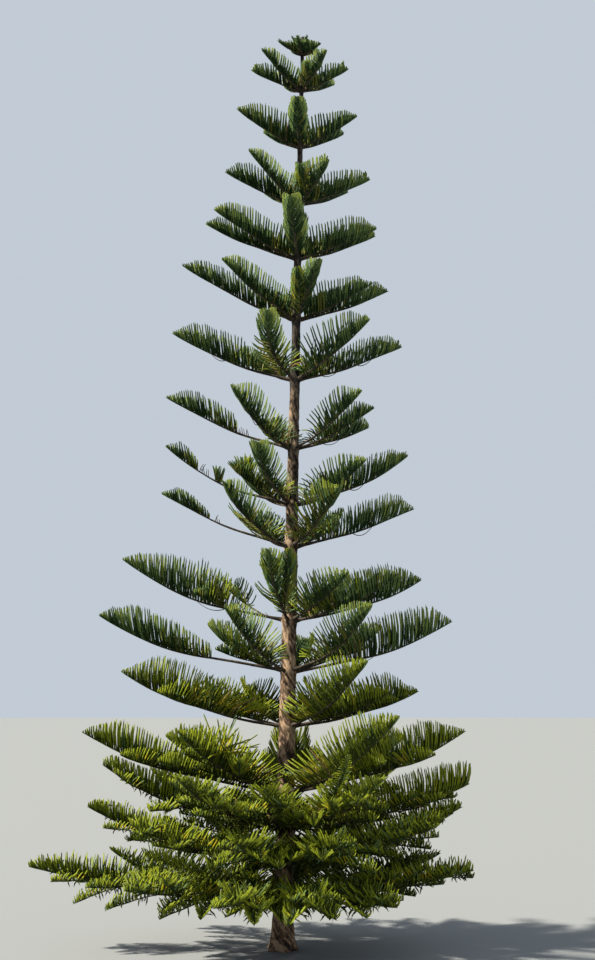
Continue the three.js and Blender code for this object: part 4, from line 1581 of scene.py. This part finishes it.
    def rib(self, limb: Limb) -> Branchlets:
        """Returns the green outer part of a limb's own line, as a chain of overlapping branchlets."""
        start = max(limb.bare + self.rib_gap, self.green_share * limb.reach)
        count = max(1, round((limb.reach - start) / self.rib_step))
        joints = np.linspace(start, limb.reach, count + 1)
        near, far = joints[:-1], np.minimum(joints[1:] + self.rib_lap, limb.reach + self.rib_point)
        foot, tip = limb.point(near), limb.point(far)
        span = np.linalg.norm(tip - foot, axis=1)
        bend = foot + 0.5 * span[:, None] * limb.along(near)
        tone = np.where(near > self.fresh_rib * limb.reach, Tone.LEAF, Tone.DEEP)
        return Branchlets(foot, bend, tip, np.repeat(limb.side[None], count, axis=0), tone, span)

    def _keep_inside(self, tip: Array, foot: Array, tier: Tier, roof: Tier | None, parent: Limb) -> Array:
        """Pulls tips back towards the parent limb's sector and under the tier above."""
        offset = tip - parent.root
        distance = offset @ parent.out
        across = offset @ parent.side
        right, left = tier.half_sector(parent)
        bound = self.sector_ease * np.where(across > 0, right, left)
        most = np.maximum(0, distance * bound + self.sector_margin)
        held = np.sign(across) * np.minimum(np.abs(across), most)
        tip = tip + (held - across)[:, None] * parent.side
        level = np.hypot(offset[:, 0], offset[:, 1])
        if roof:
            ceiling = roof.underside(level)
        else:
            fall = self.dome_fall * level**2 - self.dome_tilt * np.minimum(tip[:, 1], 0)
            ceiling = HEIGHT - self.dome_gap - fall
        floor = np.minimum(foot[:, 2] + self.lowest, tip[:, 2])
        tip[:, 2] = np.maximum(np.minimum(tip[:, 2], ceiling), floor)
        return tip


@dataclass(frozen=True)
class CordForm:
    """A branchlet's green cord: rings at shares of its length with their girths, then a point."""

    shares: tuple[float, ...]
    girths: tuple[float, ...]
    radius: float
    sides: int = 3
    least_slim: float = 0.65
    slim: float = 0.6
    full_length: float = 0.5


@dataclass(frozen=True)
class NeedleForm:
    """Needles in a spiral up a cord, each two faces folded along its keel.

    The pitch is along the cord. The angle from the cord closes by some degrees towards the tip. The
    start, stray and end gap are in pitches, and the rest are shares of the length, width or cord.
    """

    pitch: float
    length: Vary
    width: float
    angle: Vary = Vary(36.0, 8.0)
    closing: float = 12.0
    crowding: float = 0.78
    shortening: float = 0.22
    keel: float = 0.22
    widest: float = 0.42
    least_count: int = 3
    start: float = 0.8
    last_share: float = 0.995
    stray: float = 0.3
    end_gap: float = 0.4
    turn_stray: float = 0.4


CORD_RADIUS = 0.0140
MAIN_CORD = CordForm((0.0, 0.32, 0.66, 0.94), (0.75, 1.0, 1.0, 0.80), CORD_RADIUS)
FILL_CORD = CordForm((0.0, 0.62), (0.85, 1.0), 0.0150)
NEEDLE_LENGTH = Vary(0.019, 0.003)
LOW_NEEDLE_LENGTH = Vary(0.021, 0.003)
# Needles of the upper and of the lower tiers, each first on the rows' branchlets and then on the fill.
NEEDLES = (
    (NeedleForm(0.0225, NEEDLE_LENGTH, 0.0115), NeedleForm(0.0480, NEEDLE_LENGTH, 0.0115)),
    (NeedleForm(0.0285, LOW_NEEDLE_LENGTH, 0.0120), NeedleForm(0.0600, LOW_NEEDLE_LENGTH, 0.0120)),
)
# The tone that each tone turns to at a branchlet's fresh end, partly painted light on its top, and at its
# old foot, partly painted shade.
FRESH_AND_LIT = (
    Tone.DRY, Tone.LEAF, Tone.LEAF, Tone.FRESH, Tone.BRIGHT,
    Tone.BRIGHT, Tone.LIME, Tone.LIME, Tone.LIME, Tone.MOSS,
)
OLD_AND_SHADED = (
    Tone.DRY, Tone.OLIVE, Tone.DEEP, Tone.DEEP, Tone.LEAF,
    Tone.FRESH, Tone.FERN, Tone.MOSS, Tone.MOSS, Tone.FERN,
)


@dataclass
class Foliage:
    """The cords and needles of one tier's fronds."""

    tier: Tier
    roof: Tier | None
    finishes: list[Material]
    rule: FrondRule = FrondRule()
    crown_swell: float = 0.35
    swell_from: float = 8.0
    swell_over: float = 6.0
    seeds: tuple[int, int] = (7000, 8000)
    # Where needles turn to the fresher tone, partly painted light, and to the older one, partly painted
    # shade.
    fresh_lit_from: tuple[float, float] = (0.60, 0.95)
    old_shaded_to: tuple[float, float] = (0.05, 0.35)

    def grow(self, shoots: list[tuple[Limb, Limb]], fill: bool) -> Branchlets:
        """Grows the branchlets of the tier's limbs and of its side shoots.

        Args:
            shoots: The side shoots, each with the limb that it leaves.
            fill: True for the short shaded ones.

        Returns:
            All the branchlets of that kind in the tier.
        """
        stems = [(limb, limb) for limb in self.tier.limbs] + shoots
        parts = [self.rule.grow(self.tier, self.roof, limb, parent, fill) for limb, parent in stems]
        if not fill:
            parts += [self.rule.rib(limb) for limb, _ in stems]
            parts += [self.rule.arcs(*row) for row in self.tier.rows(ARC_TABLE)]
            parts += [self.rule.tuft(*row) for row in self.tier.rows(TUFT_TABLE)]
        return Branchlets.join(parts)

    def build(self, shoots: list[tuple[Limb, Limb]], nodes: list[str]) -> None:
        """Makes the cords and the needles, each kind as one piece.

        Args:
            shoots: The side shoots, each with the limb that it leaves.
            nodes: The CAD nodes that the pieces stand for.
        """
        cords, needles = Stock(), Stock()
        for fill in (False, True):
            grown = self.grow(shoots, fill)
            self._add_cords(cords, grown, FILL_CORD if fill else MAIN_CORD)
            self._add_needles(needles, grown, NEEDLES[self.tier.is_low][fill], self.seeds[fill])
        for stock, kind in ((cords, "branchlets"), (needles, "needles")):
            ride(stock.build(f"{self.tier.label}_{kind}", self.finishes), self.tier.slot, nodes)

    @property
    def swell(self) -> float:
        """How much thicker the branchlets are in the crown than lower down."""
        height = (self.tier.height - self.swell_from) / self.swell_over
        return 1 + self.crown_swell * float(np.clip(height, 0, 1))

    def _frames(self, grown: Branchlets, which: Array, share: Array) -> tuple[Array, ...]:
        """Returns the points, directions and two square directions at shares of branchlets."""
        point, along = grown.point(which, share), grown.along(which, share)
        first = unit(np.cross(along, grown.across[which]))
        return point, along, first, np.cross(along, first)

    def _add_cords(self, stock: Stock, grown: Branchlets, form: CordForm) -> None:
        """Adds each branchlet's green cord as a closed tube that ends in a point."""
        count, rings, sides = len(grown.foot), len(form.shares), form.sides
        which = np.repeat(np.arange(count), rings)
        share = np.tile(form.shares, count)
        point, _, first, second = self._frames(grown, which, share)
        girth = self.swell * form.radius * np.tile(form.girths, count)
        slim = np.clip(form.slim + grown.length / form.full_length, form.least_slim, 1.0)[which]
        angle = np.arange(sides) * 2 * math.pi / sides
        spokes = between(first[:, None], second[:, None], angle[None, :, None])
        walls = point[:, None] + (girth * slim)[:, None, None] * spokes
        points = np.concatenate([walls.reshape(count, rings * sides, 3), grown.tip[:, None]], axis=1)
        faces = []
        for ring in range(rings - 1):
            for corner in range(sides):
                here, beside = ring * sides + corner, ring * sides + (corner + 1) % sides
                faces += [(here, beside, beside + sides), (here, beside + sides, here + sides)]
        last = (rings - 1) * sides
        faces += [(last + corner, last + (corner + 1) % sides, rings * sides) for corner in range(sides)]
        faces += [(0, corner + 1, corner) for corner in range(1, sides - 1)]
        pattern = np.array(faces)
        base = np.arange(count)[:, None, None] * (rings * sides + 1)
        tones = self._cord_tones(grown.tone, rings, sides, len(pattern))
        stock.add(points, pattern[None] + base, tones.ravel())

    def _cord_tones(self, tone: Array, rings: int, sides: int, faces: int) -> Array:
        """Returns tones for the faces of cords: older in the first part, fresher at the end.

        The darker foot is also painted shade, and the lighter end painted light.
        """
        tones = np.repeat(tone[:, None], faces, axis=1)
        tones[:, : 2 * sides] = np.array(OLD_AND_SHADED)[tone][:, None]
        if rings > 2:
            last = 2 * sides * (rings - 2)
            tones[:, last : last + 3 * sides] = np.array(FRESH_AND_LIT)[tone][:, None]
        return tones

    def _add_needles(self, stock: Stock, grown: Branchlets, form: NeedleForm, seed: int) -> None:
        """Adds the needles of a set of branchlets."""
        random = np.random.default_rng(seed + self.tier.number)
        counts = np.maximum(form.least_count, np.round(grown.length / form.pitch)).astype(int)
        which = np.repeat(np.arange(len(counts)), counts)
        order = np.arange(len(which)) - np.repeat(np.cumsum(counts) - counts, counts)
        place = order + form.start + form.stray * random.uniform(-1, 1, len(which))
        share = place / (counts[which] + form.end_gap)
        share = np.clip(share, 0, form.last_share) ** form.crowding
        point, along, first, second = self._frames(grown, which, share)
        turn = random.uniform(-form.turn_stray, form.turn_stray, len(which))
        angle = (order * GOLDEN_ANGLE + turn)[:, None]
        spoke = between(first, second, angle)
        lean = np.radians(form.angle.draw(random, len(which)) - form.closing * share)[:, None]
        ahead = between(along, spoke, lean)
        length = (self.swell * form.length.draw(random, len(which)) * (1 - form.shortening * share))[:, None]
        sideways = unit(np.cross(ahead, spoke))
        back = unit(np.cross(sideways, ahead))
        width = self.swell * form.width
        root = point + 0.5 * CORD_RADIUS * spoke
        middle = root + form.widest * length * ahead - form.keel * width * back
        half = 0.5 * width * sideways
        points = np.stack([root, middle + half, root + length * ahead, middle - half], axis=1)
        pattern = np.array([(0, 1, 2), (0, 2, 3)])
        base = np.arange(len(which))[:, None, None] * 4
        tone = self._needle_tones(grown.tone[which], share, random)
        stock.add(points, pattern[None] + base, np.repeat(tone, 2))

    def _needle_tones(self, tone: Array, share: Array, random: Random) -> Array:
        """Returns the needles' tones: a branchlet's own, older at its foot and fresher at its end.

        The darker foot is also painted shade, and the lighter end painted light.
        """
        end = share > random.uniform(*self.fresh_lit_from, len(share))
        foot = share < random.uniform(*self.old_shaded_to, len(share))
        return np.where(end, np.array(FRESH_AND_LIT)[tone], np.where(foot, np.array(OLD_AND_SHADED)[tone], tone))


@dataclass(frozen=True)
class ShootRule:
    """Where side shoots leave the limbs: as listed, and in the lower tiers in hands along each."""

    first: float = 0.30
    turn: Vary = Vary(38.0, 12.0)
    lift: Vary = Vary(-0.08, 0.32)
    first_lifted: int = 15
    usual_lift: float = 0.05
    least: float = 0.30
    per_reach: float = 0.42
    slope: float = 0.24
    climb: float = 0.8
    bare: float = 0.16
    girth: float = 0.5
    hand_seed: int = 9000
    shoot_seed: int = 40

    def shoots(self, tier: Tier) -> list[tuple[Limb, Limb]]:
        """Lists a tier's side shoots, each with the limb that it leaves."""
        made = [self._shoot(*row) for row in tier.rows(SHOOT_TABLE)]
        if tier.is_low:
            for limb in tier.limbs:
                if limb.place not in CLEAR_LIMBS:
                    made += self._hands(limb, *HANDS_TABLE[tier.number])
        return made

    def _hands(self, limb: Limb, count: int, last: float) -> list[tuple[Limb, Limb]]:
        """Lists the side shoots of a lower limb, to both hands in turn."""
        random = np.random.default_rng(self.hand_seed + limb.seed)
        made = []
        for number in range(count):
            share = self.first + (last - self.first) * number / (count - 1)
            hand = 1 if (number + limb.seed) % 2 else -1
            length = self.least + self.per_reach * limb.reach * (1 - share)
            turn = hand * float(self.turn.draw(random, 1)[0])
            slope = self.climb * float(limb.along(np.array(share * limb.reach))[2])
            lifted = limb.place[0] >= self.first_lifted
            lift = float(self.lift.draw(random, 1)[0]) if lifted else self.usual_lift
            rise = length * (max(self.slope, slope) + lift)
            made.append(self._shoot(limb, share, turn, length, rise, number))
        return made

    def _shoot(
        self, limb: Limb, share: float, turn: float, length: float, rise: float, number: int = 0,
    ) -> tuple[Limb, Limb]:
        """Makes one side shoot of a limb, and returns it with the limb."""
        root = limb.point(np.array(share * limb.reach))
        seed = limb.seed * 10 + self.shoot_seed + number
        shoot = Limb(root, limb.azimuth + turn, length, rise, self.bare * length, seed, self.girth)
        return shoot, limb


@dataclass
class Studio:
    """The floor, light and camera, which aren't part of the tree."""

    floor_radius: float = 700.0
    floor_colour: Triple = (0.19, 0.20, 0.205)
    floor_roughness: float = 0.9
    floor_specular: float = 0.1
    sky_colour: Triple = (0.54, 0.60, 0.67)
    sky_strength: float = 1.0
    sun_azimuth: float = -74.0
    sun_elevation: float = 47.0
    sun_energy: float = 11.0
    sun_angle: float = 2.5
    sun_colour: Triple = (1.0, 0.93, 0.80)
    camera_place: Triple = (0.254, -23.789, 3.880)
    camera_pitch: float = 9.369
    lens: float = 52.275
    sensor: float = 36.0
    clip: tuple[float, float] = (0.1, 2000.0)
    floor_sides: int = 128
    sun_distance: float = 30.0

    def build(self) -> None:
        """Makes the stage, the lights and the camera."""
        self._floor()
        self._light()
        self._camera()

    def _floor(self) -> None:
        """Lays a wide pale floor at ground level."""
        bpy.ops.mesh.primitive_circle_add(
            vertices=self.floor_sides, radius=self.floor_radius, fill_type="NGON",
        )
        floor = bpy.context.object
        floor.name = "studio_floor"
        bench = Bench("studio_floor_finish")
        bench.set(
            Base_Color=(*self.floor_colour, 1.0),
            Roughness=self.floor_roughness,
            Specular_IOR_Level=self.floor_specular,
        )
        floor.data.materials.append(bench.material)

    def _light(self) -> None:
        """Sets a soft pale surround and a warm key light from the upper left."""
        world = bpy.data.worlds.new("studio_surround")
        world.use_nodes = True
        background = world.node_tree.nodes["Background"]
        background.inputs["Color"].default_value = (*self.sky_colour, 1.0)
        background.inputs["Strength"].default_value = self.sky_strength
        bpy.context.scene.world = world
        lamp = bpy.data.lights.new("key_light", "SUN")
        lamp.energy = self.sun_energy
        lamp.angle = math.radians(self.sun_angle)
        lamp.color = self.sun_colour
        key = bpy.data.objects.new("key_light", lamp)
        rise = math.radians(self.sun_elevation)
        towards = Vector(outward(self.sun_azimuth) * math.cos(rise) + UP * math.sin(rise))
        key.rotation_euler = towards.to_track_quat("Z", "Y").to_euler()
        key.location = towards * self.sun_distance
        bpy.context.scene.collection.objects.link(key)

    def _camera(self) -> None:
        """Sets the camera at the photograph's angle."""
        lens = bpy.data.cameras.new("camera")
        lens.lens = self.lens
        lens.sensor_width = self.sensor
        lens.clip_start, lens.clip_end = self.clip
        camera = bpy.data.objects.new("camera", lens)
        camera.location = self.camera_place
        camera.rotation_euler = (math.radians(90 + self.camera_pitch), 0, 0)
        bpy.context.scene.collection.objects.link(camera)
        bpy.context.scene.camera = camera
        bpy.context.scene.view_settings.view_transform = "Standard"


def nodes_of(tier: Tier, kind: str) -> list[str]:
    """Lists the CAD nodes of a tier that a piece stands for.

    Args:
        tier: The tier.
        kind: "bough" or "frond".

    Returns:
        The nodes' names.
    """
    whole = "crown_tip" if tier.number == 1 else f"{tier.label}_fronds"
    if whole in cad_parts:
        return [whole] if kind == "frond" else []
    start = f"{kind}_{tier.number:02d}_"
    return sorted(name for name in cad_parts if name.startswith(start))


def main() -> None:
    """Builds the tree's sub-assemblies in order, then the studio."""
    logging.basicConfig(level=logging.INFO, format="%(name)s %(message)s", stream=sys.stdout)
    tiers = make_tiers()
    finishes = [finish.make() for finish in NEEDLE_FINISHES]
    bark = BoughBark().make()
    shoot_rule = ShootRule()
    Trunk(TRUNK, tiers).build()
    for number, tier in tiers.items():
        shoots = shoot_rule.shoots(tier)
        if number == 1:
            shoots += [(shoot, shoot) for shoot in leader_shoots(tier)]
        Boughs(tier, [shoot for shoot, _ in shoots], bark).build(nodes_of(tier, "bough"))
        Foliage(tier, tiers.get(number - 1), finishes).build(shoots, nodes_of(tier, "frond"))
    Studio().build()


if __name__ == "__main__":
    main()
